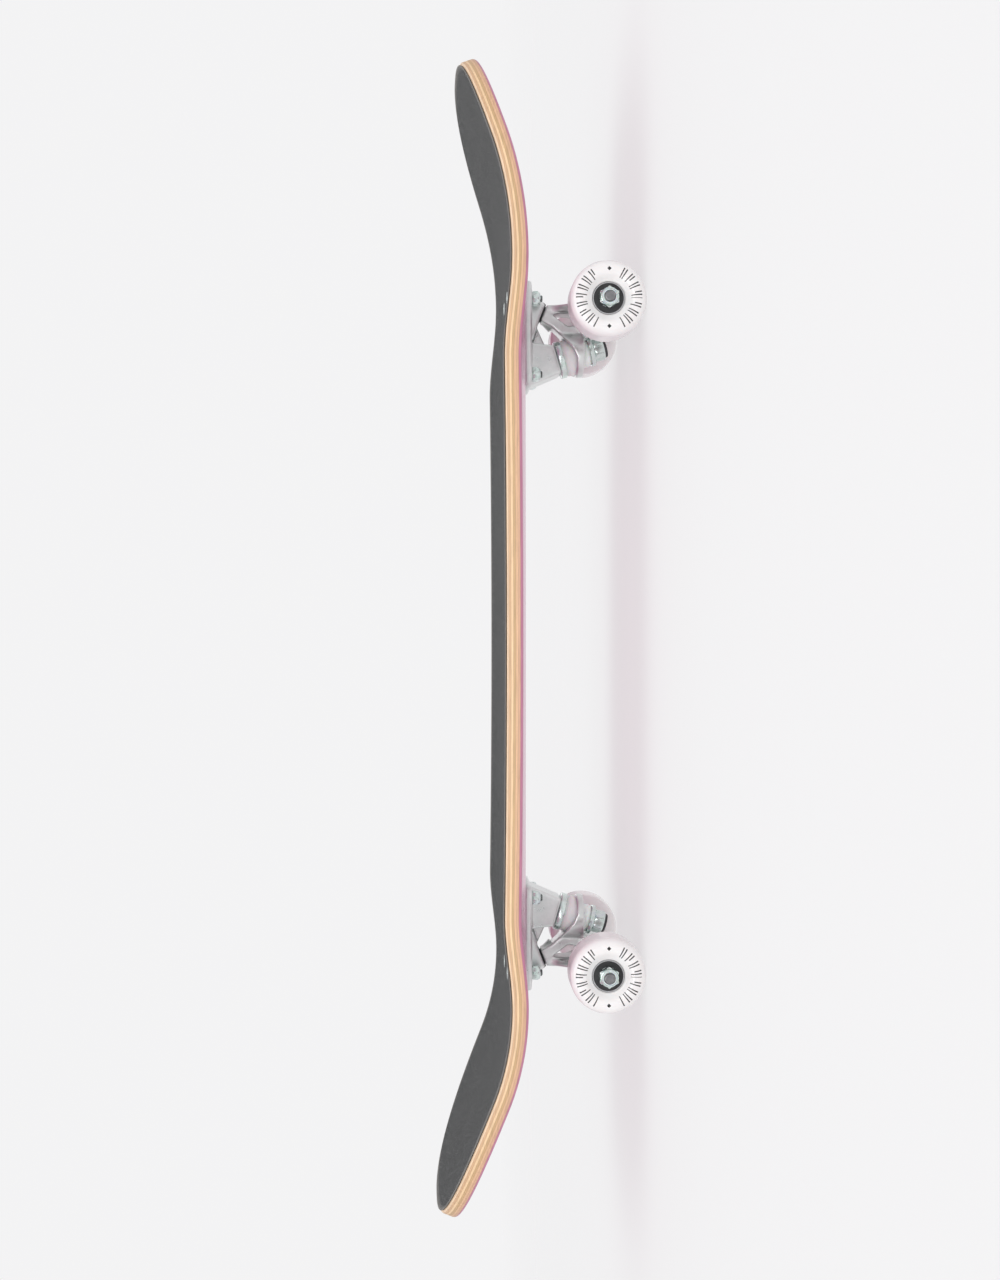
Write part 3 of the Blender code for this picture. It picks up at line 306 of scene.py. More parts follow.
def make_mottle():
    inputs = [("Cloud Scale", 60.0), ("Grain Scale", 900.0)]
    tree, given, result = new_group("Mottle", inputs, ["Cloud", "Grain"])
    place = add(tree, "TexCoord").outputs["Object"]
    cloud = add(tree, "TexNoise", Detail=3.0, Roughness=0.55)
    grain = add(tree, "TexNoise", Detail=2.0, Roughness=0.6)
    for noise, scale in ((cloud, "Cloud Scale"), (grain, "Grain Scale")):
        wire(tree, place, noise.inputs["Vector"])
        wire(tree, given.outputs[scale], noise.inputs["Scale"])
    wire(tree, cloud.outputs[0], result.inputs["Cloud"])
    wire(tree, grain.outputs[0], result.inputs["Grain"])
    return tree


def make_figure():
    inputs = [("Stretch", 0.05), ("Fineness", 700.0)]
    tree, given, result = new_group("Figure", inputs, ["Streaks", "Pores", "Bands"])
    place = add(tree, "TexCoord").outputs["Object"]
    split = add(tree, "SeparateXYZ")
    wire(tree, place, split.inputs[0])
    drawn = add(tree, "CombineXYZ")
    wire(tree, maths(tree, "MULTIPLY", split.outputs[0], given.outputs["Stretch"]), drawn.inputs[0])
    wire(tree, split.outputs[1], drawn.inputs[1])
    wire(tree, split.outputs[2], drawn.inputs[2])
    streaks = add(tree, "TexNoise", Detail=4.0, Roughness=0.65)
    wire(tree, drawn.outputs[0], streaks.inputs["Vector"])
    wire(tree, given.outputs["Fineness"], streaks.inputs["Scale"])
    pores = add(tree, "TexNoise", Detail=1.0)
    wire(tree, drawn.outputs[0], pores.inputs["Vector"])
    wire(tree, maths(tree, "MULTIPLY", given.outputs["Fineness"], 4.0), pores.inputs["Scale"])
    bands = add(tree, "TexNoise", Detail=2.0)
    wire(tree, drawn.outputs[0], bands.inputs["Vector"])
    wire(tree, maths(tree, "MULTIPLY", given.outputs["Fineness"], 0.08), bands.inputs["Scale"])
    wire(tree, streaks.outputs[0], result.inputs["Streaks"])
    wire(tree, pores.outputs[0], result.inputs["Pores"])
    wire(tree, bands.outputs[0], result.inputs["Bands"])
    return tree


MOTTLE = make_mottle()
FIGURE = make_figure()


def effect(tree, group, **values):
    made = tree.nodes.new("ShaderNodeGroup")
    made.node_tree = group
    for key, value in values.items():
        made.inputs[key.replace("_", " ")].default_value = value
    return made


def attribute(tree, name):
    made = tree.nodes.new("ShaderNodeAttribute")
    made.attribute_name = name
    return made.outputs["Fac"]


print("groups", [group.name for group in bpy.data.node_groups])

# %% [markdown]
# ## Maple
#
# A deck is seven maple veneers, glued and pressed. On the rail they show as stripes: long-grain plies are
# pale, cross-grain plies darker, and a thin glue line lies between two. The bottom ply is dyed pink. The
# rail's mesh carries how deep each point lies, from 0 at the top to 1 at the bottom, in an attribute called
# depth, and a stepped ramp turns that into the seven plies. An image could do this too, but it would need
# unwrapping and would blur up close. The dyed face is the same wood seen flat, under clear lacquer.

# %% Rail, dyed face and bare top veneer
PLIES = [
    (0.83, 0.60, 0.41), (0.72, 0.46, 0.27), (0.94, 0.66, 0.40), (0.66, 0.43, 0.23),
    (0.80, 0.51, 0.31), (0.74, 0.45, 0.30), (0.60, 0.24, 0.36),
]
GLUE_HALF_WIDTH = 0.012
DYED_PINK = (0.56, 0.17, 0.33)


def make_rail_wood():
    made, tree, shader = new_material("maple rail", roughness=0.42)
    depth = attribute(tree, "depth")
    stops = [(index / len(PLIES), colour) for index, colour in enumerate(PLIES)]
    plies = ramp(tree, depth, stops, "CONSTANT")
    figure = effect(tree, FIGURE, Stretch=0.06, Fineness=900.0)
    shade = span(tree, figure.outputs["Streaks"], 0.3, 0.7, 0.80, 1.08)
    grey = add(tree, "CombineColor")
    for socket in grey.inputs[:3]:
        wire(tree, shade, socket)
    wood = blend(tree, 1.0, plies, grey.outputs[0], "MULTIPLY")
    nearest = maths(tree, "FRACT", maths(tree, "MULTIPLY", depth, float(len(PLIES))))
    off_line = maths(tree, "MINIMUM", nearest, maths(tree, "SUBTRACT", 1.0, nearest))
    glue = span(tree, off_line, 0.02, GLUE_HALF_WIDTH * len(PLIES), 0.55, 0.0)
    inner = maths(tree, "MULTIPLY", glue, maths(tree, "GREATER_THAN", depth, 0.05))
    inner = maths(tree, "MULTIPLY", inner, maths(tree, "LESS_THAN", depth, 0.95))
    wood = blend(tree, inner, wood, (0.30, 0.15, 0.09))
    pores = span(tree, figure.outputs["Pores"], 0.62, 0.75, 0.0, 0.35)
    wood = blend(tree, pores, wood, (0.36, 0.20, 0.11))
    wire(tree, wood, shader.inputs["Base Color"])
    roughen(tree, shader, figure.outputs["Streaks"], 0.2, 0.8, 0.36, 0.52)
    relief(tree, shader, figure.outputs["Streaks"], 0.05 * MM, 0.5)
    return made


def make_dyed_face():
    made, tree, shader = new_material("dyed maple face", roughness=0.25)
    figure = effect(tree, FIGURE, Stretch=0.05, Fineness=380.0)
    colour = ramp(tree, figure.outputs["Streaks"], [
        (0.28, tuple(0.72 * part for part in DYED_PINK)), (0.52, DYED_PINK), (0.78, (0.70, 0.27, 0.43)),
    ])
    bands = span(tree, figure.outputs["Bands"], 0.35, 0.7, 0.0, 0.35)
    colour = blend(tree, bands, colour, (0.46, 0.13, 0.30))
    pores = span(tree, figure.outputs["Pores"], 0.60, 0.74, 0.0, 0.5)
    colour = blend(tree, pores, colour, (0.25, 0.06, 0.14))
    wire(tree, colour, shader.inputs["Base Color"])
    roughen(tree, shader, figure.outputs["Streaks"], 0.2, 0.8, 0.22, 0.34)
    shader.inputs["Coat Weight"].default_value = 0.5
    shader.inputs["Coat Roughness"].default_value = 0.12
    relief(tree, shader, figure.outputs["Streaks"], 0.03 * MM, 0.4)
    return made


def make_top_veneer():
    made, tree, shader = new_material("maple top veneer", roughness=0.45)
    figure = effect(tree, FIGURE, Stretch=0.05, Fineness=420.0)
    colour = ramp(tree, figure.outputs["Streaks"], [(0.3, (0.62, 0.38, 0.21)), (0.7, (0.86, 0.62, 0.40))])
    wire(tree, colour, shader.inputs["Base Color"])
    relief(tree, shader, figure.outputs["Streaks"], 0.04 * MM, 0.5)
    return made


MAPLE = [make_top_veneer(), make_rail_wood(), make_dyed_face()]
print("maple finishes", [finish.name for finish in MAPLE])

# %% [markdown]
# ## Grip tape
#
# Grip tape is sandpaper: grains of silicon carbide about a third of a millimetre across, bonded to a sheet.
# Modelling the grains would take millions of faces, so they are relief and colour instead. Voronoi cells
# give the grains, one value for each: a few grains are painted much paler, as painted glints, and the
# roughness differs from grain to grain. The tape is trimmed with a file, which
# leaves a paler line along its edge, and the mesh marks that border in an attribute called edge.

# %% Grip tape
GRAIN_PER_METRE = 2600.0


def make_grit():
    made, tree, shader = new_material("black grit", roughness=0.9)
    place = add(tree, "TexCoord").outputs["Object"]
    cells = add(tree, "TexVoronoi", Scale=GRAIN_PER_METRE)
    wire(tree, place, cells.inputs["Vector"])
    split = add(tree, "SeparateColor")
    wire(tree, cells.outputs["Color"], split.inputs[0])
    mottle = effect(tree, MOTTLE, Cloud_Scale=35.0, Grain_Scale=1500.0)
    # Painted glints: the ramp's top stop paints a few grains much paler than the black grit around them.
    colour = ramp(tree, split.outputs[0], [
        (0.0, (0.010, 0.010, 0.010)), (0.55, (0.026, 0.026, 0.026)), (0.90, (0.052, 0.052, 0.053)),
        (1.0, (0.28, 0.28, 0.29)),
    ])
    dust = span(tree, mottle.outputs["Cloud"], 0.35, 0.75, 0.0, 0.30)
    colour = blend(tree, dust, colour, (0.058, 0.058, 0.060))
    filed = maths(tree, "MULTIPLY", attribute(tree, "edge"), 0.55)
    colour = blend(tree, filed, colour, (0.30, 0.28, 0.26))
    wire(tree, colour, shader.inputs["Base Color"])
    roughen(tree, shader, split.outputs[1], 0.0, 1.0, 0.65, 1.0)
    grain = maths(tree, "MULTIPLY", mottle.outputs["Grain"], 0.6)
    relief(tree, shader, maths(tree, "ADD", cells.outputs["Distance"], grain), 0.25 * MM, 0.8)
    return made


GRIT = make_grit()
print("grains a metre", GRAIN_PER_METRE)

# %% [markdown]
# ## Metals
#
# The trucks are tumbled aluminium castings: bright, a little cloudy, with the faint orange peel of the
# mould. The hardware is zinc plated steel, whose passivation gives a thin greenish and bluish sheen. The
# axles are plain steel; their threaded ends are darker, from painted shade in the thread's grooves. A thread
# turns about once a millimetre, too fine to model, so it is drawn as rings of relief in the surface, with
# painted shade down in each groove: the mesh stores how far along its own axis each point lies, in
# millimetres, so that the rings follow a tilted kingpin as well as a level axle.

# %% Castings and plating
def make_casting_metal():
    made, tree, shader = new_material("tumbled aluminium", metallic=1.0)
    mottle = effect(tree, MOTTLE, Cloud_Scale=120.0, Grain_Scale=1400.0)
    colour = ramp(tree, mottle.outputs["Cloud"], [(0.3, (0.66, 0.69, 0.68)), (0.7, (0.81, 0.83, 0.82))])
    edges = add(tree, "NewGeometry").outputs["Pointiness"]
    worn = span(tree, edges, 0.51, 0.58, 0.0, 0.5)
    colour = blend(tree, worn, colour, (0.95, 0.95, 0.95))
    wire(tree, colour, shader.inputs["Base Color"])
    roughen(tree, shader, mottle.outputs["Cloud"], 0.3, 0.7, 0.27, 0.40)
    peel = maths(tree, "MULTIPLY", mottle.outputs["Cloud"], 2.0)
    relief(tree, shader, maths(tree, "ADD", mottle.outputs["Grain"], peel), 0.07 * MM, 0.5)
    return made


def make_bright_metal(name, low, middle_tone, high):
    """Plated or polished metal whose tone drifts between three colours."""
    made, tree, shader = new_material(name, metallic=1.0)
    mottle = effect(tree, MOTTLE, Cloud_Scale=220.0, Grain_Scale=2400.0)
    colour = ramp(tree, mottle.outputs["Cloud"], [(0.30, low), (0.50, middle_tone), (0.68, high)])
    wire(tree, colour, shader.inputs["Base Color"])
    roughen(tree, shader, mottle.outputs["Grain"], 0.3, 0.7, 0.14, 0.28)
    relief(tree, shader, mottle.outputs["Grain"], 0.02 * MM, 0.3)
    return made


# %% Threaded metal
THREAD_PITCH = 1.06


def make_threaded(name, light, dark, roughness):
    """Metal whose thread comes from the attributes along, in millimetres, and thread, which is 1 on it."""
    made, tree, shader = new_material(name, roughness=roughness, metallic=1.0)
    along = maths(tree, "DIVIDE", attribute(tree, "along"), THREAD_PITCH)
    tooth = maths(tree, "PINGPONG", along, 0.5)
    thread = attribute(tree, "thread")
    depth = maths(tree, "MULTIPLY", tooth, thread)
    mottle = effect(tree, MOTTLE, Cloud_Scale=300.0, Grain_Scale=2600.0)
    colour = blend(tree, span(tree, mottle.outputs["Cloud"], 0.3, 0.7), dark, light)
    # Painted shade: the colour is darkened down in each groove of the thread, where shade falls; the relief
    # below shapes the same rings.
    groove = maths(tree, "MULTIPLY", maths(tree, "SUBTRACT", 0.5, tooth), thread)
    painted_groove_shade = maths(tree, "MULTIPLY", groove, 1.3, clamp=True)
    colour = blend(tree, painted_groove_shade, colour, tuple(part * 0.35 for part in dark))
    wire(tree, colour, shader.inputs["Base Color"])
    roughen(tree, shader, mottle.outputs["Grain"], 0.3, 0.7, roughness - 0.05, roughness + 0.1)
    relief(tree, shader, depth, THREAD_PITCH * MM, 0.9)
    return made


CASTING = make_casting_metal()
ZINC = make_bright_metal("bright zinc plate", (0.60, 0.72, 0.68), (0.74, 0.82, 0.79), (0.67, 0.74, 0.77))
BEARING_STEEL = make_bright_metal("bearing steel", (0.44, 0.44, 0.45), (0.52, 0.52, 0.53), (0.47, 0.47, 0.48))
ZINC_THREAD = make_threaded("zinc plated thread", (0.80, 0.85, 0.83), (0.56, 0.66, 0.64), 0.22)
AXLE_STEEL = make_threaded("axle steel", (0.46, 0.46, 0.47), (0.27, 0.27, 0.28), 0.34)
print("metals", [finish.name for finish in (CASTING, ZINC, BEARING_STEEL, ZINC_THREAD, AXLE_STEEL)])

# %% [markdown]
# ## Urethane, rubber and nylon
#
# The wheels are poured urethane, white right through and glossy, with a little light scattered inside. Each
# face carries a black print. Here it is a plain ring of radial strokes in two arcs, with a small diamond in
# each gap between them. The face's UV map is the wheel's own plane in millimetres from the axle, so a few
# lines of maths turn it into a radius and an angle, and the strokes stay crisp at any distance.

# %% Wheel urethane with its printed ring
STROKES_PER_TURN = 64.0
STROKE_INNER, STROKE_OUTER, STROKE_SHORTER = 14.9, 22.3, 2.6
STROKE_FROM, STROKE_TO = 0.29, 0.71
ARC_HALF_ANGLE = math.radians(64)
DIAMOND_RADIUS, DIAMOND_HALF = 19.2, 1.5
PRINT_BLACK = (0.018, 0.017, 0.018)


def band(tree, value, low, high, soft):
    """1 between low and high, with edges that are soft wide."""
    rise = span(tree, value, low - soft, low + soft)
    fall = span(tree, value, high - soft, high + soft, 1.0, 0.0)
    return maths(tree, "MULTIPLY", rise, fall)


def length_of(tree, first, second):
    squares = [maths(tree, "MULTIPLY", value, value) for value in (first, second)]
    return maths(tree, "SQRT", maths(tree, "ADD", *squares))


def make_wheel_urethane():
    made, tree, shader = new_material("white urethane", roughness=0.20)
    across = add(tree, "UVMap", uv_map="face").outputs[0]
    split = add(tree, "SeparateXYZ")
    wire(tree, across, split.inputs[0])
    sideways, upwards = split.outputs[0], split.outputs[1]
    radius = length_of(tree, sideways, upwards)
    from_up = maths(tree, "ABSOLUTE", maths(tree, "ARCTAN2", sideways, maths(tree, "ABSOLUTE", upwards)))
    in_arc = span(tree, from_up, ARC_HALF_ANGLE - 0.01, ARC_HALF_ANGLE + 0.01, 1.0, 0.0)
    turns = maths(tree, "DIVIDE", maths(tree, "ARCTAN2", sideways, upwards), math.tau)
    counted = maths(tree, "ADD", maths(tree, "MULTIPLY", turns, STROKES_PER_TURN), 100.5)
    stroke = band(tree, maths(tree, "FRACT", counted), STROKE_FROM, STROKE_TO, 0.05)
    number = maths(tree, "FLOOR", counted)
    third = maths(tree, "GREATER_THAN", maths(tree, "FRACT", maths(tree, "DIVIDE", number, 3.0)), 0.5)
    kept = maths(tree, "SUBTRACT", 1.0, third)
    fifth = maths(tree, "LESS_THAN", maths(tree, "FRACT", maths(tree, "DIVIDE", number, 5.0)), 0.1)
    inner = maths(tree, "ADD", STROKE_INNER, maths(tree, "MULTIPLY", fifth, STROKE_SHORTER))
    reach = maths(tree, "GREATER_THAN", radius, inner)
    reach = maths(tree, "MULTIPLY", reach, maths(tree, "LESS_THAN", radius, STROKE_OUTER))
    strokes = maths(tree, "MULTIPLY", stroke, kept)
    strokes = maths(tree, "MULTIPLY", strokes, maths(tree, "MULTIPLY", reach, in_arc))
    aside = maths(tree, "SUBTRACT", maths(tree, "ABSOLUTE", sideways), DIAMOND_RADIUS)
    aside = maths(tree, "ABSOLUTE", aside)
    off_centre = maths(tree, "ADD", aside, maths(tree, "ABSOLUTE", upwards))
    diamond = maths(tree, "LESS_THAN", off_centre, DIAMOND_HALF)
    print_mask = maths(tree, "MAXIMUM", strokes, diamond)
    mottle = effect(tree, MOTTLE, Cloud_Scale=70.0, Grain_Scale=900.0)
    clouds = span(tree, mottle.outputs["Cloud"], 0.35, 0.7)
    white = blend(tree, clouds, (0.90, 0.87, 0.865), (0.93, 0.91, 0.905))
    wire(tree, blend(tree, print_mask, white, PRINT_BLACK), shader.inputs["Base Color"])
    roughen(tree, shader, mottle.outputs["Grain"], 0.3, 0.7, 0.17, 0.25)
    shader.inputs["Subsurface Weight"].default_value = 0.08
    shader.inputs["Subsurface Scale"].default_value = 0.002
    shader.inputs["Subsurface Radius"].default_value = (1.0, 0.8, 0.7)
    shader.inputs["Coat Weight"].default_value = 0.25
    relief(tree, shader, mottle.outputs["Cloud"], 0.05 * MM, 0.2)
    return made


# %% Soft plastics
def make_soft_plastic(name, dark, light, roughness, scatter=0.0):
    made, tree, shader = new_material(name)
    mottle = effect(tree, MOTTLE, Cloud_Scale=160.0, Grain_Scale=1300.0)
    clouds = span(tree, mottle.outputs["Cloud"], 0.3, 0.7)
    wire(tree, blend(tree, clouds, dark, light), shader.inputs["Base Color"])
    roughen(tree, shader, mottle.outputs["Grain"], 0.3, 0.7, roughness, roughness + 0.12)
    shader.inputs["Subsurface Weight"].default_value = scatter
    shader.inputs["Subsurface Scale"].default_value = 0.003
    relief(tree, shader, mottle.outputs["Grain"], 0.03 * MM, 0.3)
    return made


WHEEL_URETHANE = make_wheel_urethane()
BUSHING_URETHANE = make_soft_plastic(
    "cloudy white urethane", (0.88, 0.93, 0.90), (0.95, 0.98, 0.96), 0.26, scatter=0.2,
)
CUP_URETHANE = make_soft_plastic("dark cup urethane", (0.03, 0.03, 0.033), (0.06, 0.06, 0.065), 0.5)
SEAL_RUBBER = make_soft_plastic("black seal rubber", (0.012, 0.012, 0.013), (0.03, 0.03, 0.032), 0.42)
BLACK_NYLON = make_soft_plastic("black nylon", (0.02, 0.02, 0.022), (0.045, 0.045, 0.05), 0.35)
print("finishes", len(bpy.data.materials))

# %% [markdown]
# ## The deck's surface
#
# A deck is pressed in a mould, so its shape is one smooth surface: a flat strip down the middle, rails that
# curl up on either side, and a kick at each end that bends up and then runs straight. A formula for the
# height says all of that, and both the deck and the tape take their shape from it. Points are laid on a
# plain grid first. The columns draw together towards a tip and the last rows bow outwards, so that the
# grid's border is the rounded end itself. Eight bolts come through. The grid has close lines round each
# bolt, whose outer ring of points is moved onto a circle and whose inner points are deleted.

# %% Sizes of the pressed surface
DECK_LENGTH = 820.0 * MM
DECK_WIDTH = 216.0 * MM
DECK_THICKNESS = 11.0 * MM
DECK_TOP = DECK_BOTTOM + DECK_THICKNESS
NOSE_ANGLE, TAIL_ANGLE = math.radians(22.0), math.radians(19.1)
NOSE_BEND, TAIL_BEND = 170.0 * MM, 250.0 * MM
END_TAPER, END_ROUNDNESS, END_CORNER_SHARE = 112.0 * MM, 2.75, 0.34
CONCAVE_MIDDLE, CONCAVE_BOLTS, CONCAVE_KICK = 6.3 * MM, 7.7 * MM, 2.3 * MM
FLAT_HALF, CONCAVE_POWER = 31.0 * MM, 1.7
NOSE_PAST_BOLTS, TAIL_PAST_BOLTS = 7.0 * MM, 13.5 * MM
RAIL_REACH = DECK_WIDTH / 2 - FLAT_HALF
RAIL_LEAN = math.atan(CONCAVE_BOLTS * CONCAVE_POWER / RAIL_REACH)
TOP_HALF = DECK_WIDTH / 2 - DECK_THICKNESS * math.sin(RAIL_LEAN)
BOLTS = [middle(node) for node in sorted(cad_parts) if node.endswith("_bolt")]
TRUCKS_MIDDLE = (TRUCKS["front"].translation.x + TRUCKS["rear"].translation.x) / 2
INNER_BOLTS = min(abs(bolt.x - TRUCKS_MIDDLE) for bolt in BOLTS)
OUTER_BOLTS = max(abs(bolt.x - TRUCKS_MIDDLE) for bolt in BOLTS)
NOSE_START, TAIL_START = OUTER_BOLTS + NOSE_PAST_BOLTS, OUTER_BOLTS + TAIL_PAST_BOLTS
print("kicks start at", [round(start, 4) for start in (NOSE_START, TAIL_START)])


# %% Height and outline
def kick(distance, angle, radius):
    if distance <= 0.0:
        return 0.0
    run = radius * math.sin(angle)
    if distance < run:
        return radius - math.sqrt(radius * radius - distance * distance)
    return radius * (1.0 - math.cos(angle)) + (distance - run) * math.tan(angle)


def concave(along, kick_start):
    share = min(along / INNER_BOLTS, 1.0)
    body = CONCAVE_MIDDLE + (CONCAVE_BOLTS - CONCAVE_MIDDLE) * share ** 2
    fade = min(max((along - INNER_BOLTS) / (kick_start - INNER_BOLTS), 0.0), 1.0)
    return body + (CONCAVE_KICK - body) * fade * fade * (3.0 - 2.0 * fade)


def height(x, y):
    along = x - TRUCKS_MIDDLE
    kicks = kick(along - NOSE_START, NOSE_ANGLE, NOSE_BEND) + kick(-along - TAIL_START, TAIL_ANGLE, TAIL_BEND)
    rails = concave(abs(along), NOSE_START if along > 0.0 else TAIL_START)
    return kicks + rails * (max(abs(y) - FLAT_HALF, 0.0) / RAIL_REACH) ** CONCAVE_POWER


def slope_normal(x, y):
    step = 0.2 * MM
    rise_x = (height(x + step, y) - height(x - step, y)) / (2 * step)
    rise_y = (height(x, y + step) - height(x, y - step)) / (2 * step)
    return Vector((-rise_x, -rise_y, 1.0)).normalized()


def half_width(from_tip, reach):
    share = min(max(1.0 - from_tip / END_TAPER, 0.0), 1.0)
    return reach * (1.0 - share ** END_ROUNDNESS) ** (1.0 / END_ROUNDNESS)


def tip_distance(share):
    return END_TAPER * (1.0 - (1.0 - min(share, 1.0) ** END_ROUNDNESS) ** (1.0 / END_ROUNDNESS))


# %% Grid of the pressed surface
def steps(start, end, count):
    return [start + (end - start) * step / count for step in range(count)]


def ring_lines(centre, radius):
    return [centre + radius * share for share in (-1.0, -0.5, 0.0, 0.5, 1.0)]


def pressed_sheet(inset, hole, lift):
    """The deck's upper face, drawn in by the inset and raised by the lift, with a hole for each bolt."""
    reach = TOP_HALF - inset
    nose_tip = DECK_LENGTH / 2 - DECK_THICKNESS * math.sin(NOSE_ANGLE) - inset
    tail_tip = -DECK_LENGTH / 2 + DECK_THICKNESS * math.sin(TAIL_ANGLE) + inset
    corner = tip_distance(END_CORNER_SHARE * 2.0)
    nose_kick, tail_kick = TRUCKS_MIDDLE + NOSE_START, TRUCKS_MIDDLE - TAIL_START
    bolt_rows = sorted({round(bolt.x, 5) for bolt in BOLTS})
    rows = steps(tail_tip + corner, tail_kick, 34)
    rows += [tail_kick] + ring_lines(bolt_rows[0], hole)
    rows += steps(bolt_rows[0] + hole, bolt_rows[1] - hole, 6)[1:] + ring_lines(bolt_rows[1], hole)
    rows += steps(bolt_rows[1] + hole, bolt_rows[2] - hole, 40)[1:] + ring_lines(bolt_rows[2], hole)
    rows += steps(bolt_rows[2] + hole, bolt_rows[3] - hole, 6)[1:] + ring_lines(bolt_rows[3], hole)
    rows += steps(nose_kick, nose_tip - corner, 34) + [nose_tip - corner]
    bolt_lane = abs(BOLTS[0].y)
    lanes = [bolt_lane / 2] + ring_lines(bolt_lane, hole) + steps(FLAT_HALF, reach, 12) + [reach]
    lanes = [-lane for lane in reversed(lanes)] + [0.0] + lanes
    sheet = bmesh.new()
    bmesh.ops.create_grid(sheet, x_segments=len(rows) - 1, y_segments=len(lanes) - 1, size=1.0)
    for vert in sheet.verts:
        x = rows[round((vert.co.x + 1.0) / 2.0 * (len(rows) - 1))]
        share = lanes[round((vert.co.y + 1.0) / 2.0 * (len(lanes) - 1))] / reach
        width = min(half_width(nose_tip - x, reach), half_width(x - tail_tip, reach))
        bow = corner - tip_distance(abs(share) * END_CORNER_SHARE * 2.0)
        to_nose = max((x - nose_kick) / (nose_tip - corner - nose_kick), 0.0) ** 2
        to_tail = max((tail_kick - x) / (tail_kick - tail_tip - corner), 0.0) ** 2
        vert.co = (x + bow * (to_nose - to_tail), share * width, 0.0)
    for bolt in BOLTS:
        near = [
            vert for vert in sheet.verts
            if max(abs(vert.co.x - bolt.x), abs(vert.co.y - bolt.y)) < hole * 1.05
        ]
        rim = [vert for vert in near if max(abs(vert.co.x - bolt.x), abs(vert.co.y - bolt.y)) > hole * 0.9]
        for vert in rim:
            away = Vector((vert.co.x - bolt.x, vert.co.y - bolt.y, 0.0)).normalized()
            vert.co = Vector((bolt.x, bolt.y, 0.0)) + away * hole
        bmesh.ops.delete(sheet, geom=[vert for vert in near if vert not in rim], context="VERTS")
    for vert in sheet.verts:
        x, y = vert.co.x, vert.co.y
        vert.co = Vector((x, y, DECK_TOP + height(x, y))) + slope_normal(x, y) * lift
    bmesh.ops.recalc_face_normals(sheet, faces=sheet.faces)
    if sum(face.normal.z for face in sheet.faces) < 0.0:
        bmesh.ops.reverse_faces(sheet, faces=sheet.faces)
    return sheet


# %% [markdown]
# ## From a sheet to a board
#
# Solidify would give a square rail. The rail here is a run of extrusions of the sheet's border, step by
# step down its side: each step knows how deep it lies and how far out it stands, so the corners are true
# arcs. The underside is a copy of the sheet, moved down along the surface's own slope and welded to the
# last step. Bolt holes are run through in the same way, with a countersink at the top.

# %% Walls round a sheet
def border_rings(shape):
    """Ordered rings of the verts along an open border, the longest first."""
    left = {edge for edge in shape.edges if edge.is_boundary}
    rings = []
    while left:
        edge = left.pop()
        ring = [edge.verts[0], edge.verts[1]]
        while ring[-1] is not ring[0]:
            ahead = next(found for found in ring[-1].link_edges if found in left)
            left.discard(ahead)
            ring.append(ahead.other_vert(ring[-1]))
        rings.append(ring[:-1])
    return sorted(rings, key=len, reverse=True)


def outward_of(ring, hole_centre=None):
    """For each vert of a ring, the way out of the sheet within its surface."""
    ways = []
    for index, vert in enumerate(ring):
        tangent = ring[(index + 1) % len(ring)].co - ring[index - 1].co
        way = tangent.cross(slope_normal(vert.co.x, vert.co.y)).normalized()
        centre = hole_centre or Vector((0.0, 0.0, vert.co.z))
        away = Vector((vert.co.x - centre.x, vert.co.y - centre.y, 0.0))
        ways.append(-way if way.dot(away) < 0.0 else way)
    return ways


def run_wall(shape, ring, ways, profile, depth_layer, thickness):
    """Extrudes a ring down through the board; profile is (depth, how far out) for each step."""
    starts = [vert.co.copy() for vert in ring]
    downs = [-slope_normal(start.x, start.y) for start in starts]
    edges = [shape.edges.get((ring[index - 1], vert)) for index, vert in enumerate(ring)]
    faces = []
    for depth, out in profile:
        made = bmesh.ops.extrude_edge_only(shape, edges=edges)["geom"]
        fresh = {item for item in made if isinstance(item, bmesh.types.BMVert)}
        edges = [item for item in made if isinstance(item, bmesh.types.BMEdge) and set(item.verts) <= fresh]
        faces += [item for item in made if isinstance(item, bmesh.types.BMFace)]
        ring = [
            next(edge.other_vert(vert) for edge in vert.link_edges if edge.other_vert(vert) in fresh)
            for vert in ring
        ]
        for vert, start, way, down in zip(ring, starts, ways, downs):
            vert.co = start + way * out + down * depth
            vert[depth_layer] = depth / thickness
    return faces


def quarter_steps(radius, count):
    """(depth, how far out) down a rounded upper corner that begins drawn in by its radius."""
    turns = [math.pi / 2 * step / count for step in range(1, count + 1)]
    return [(radius * (1.0 - math.cos(turn)), radius * math.sin(turn)) for turn in turns]


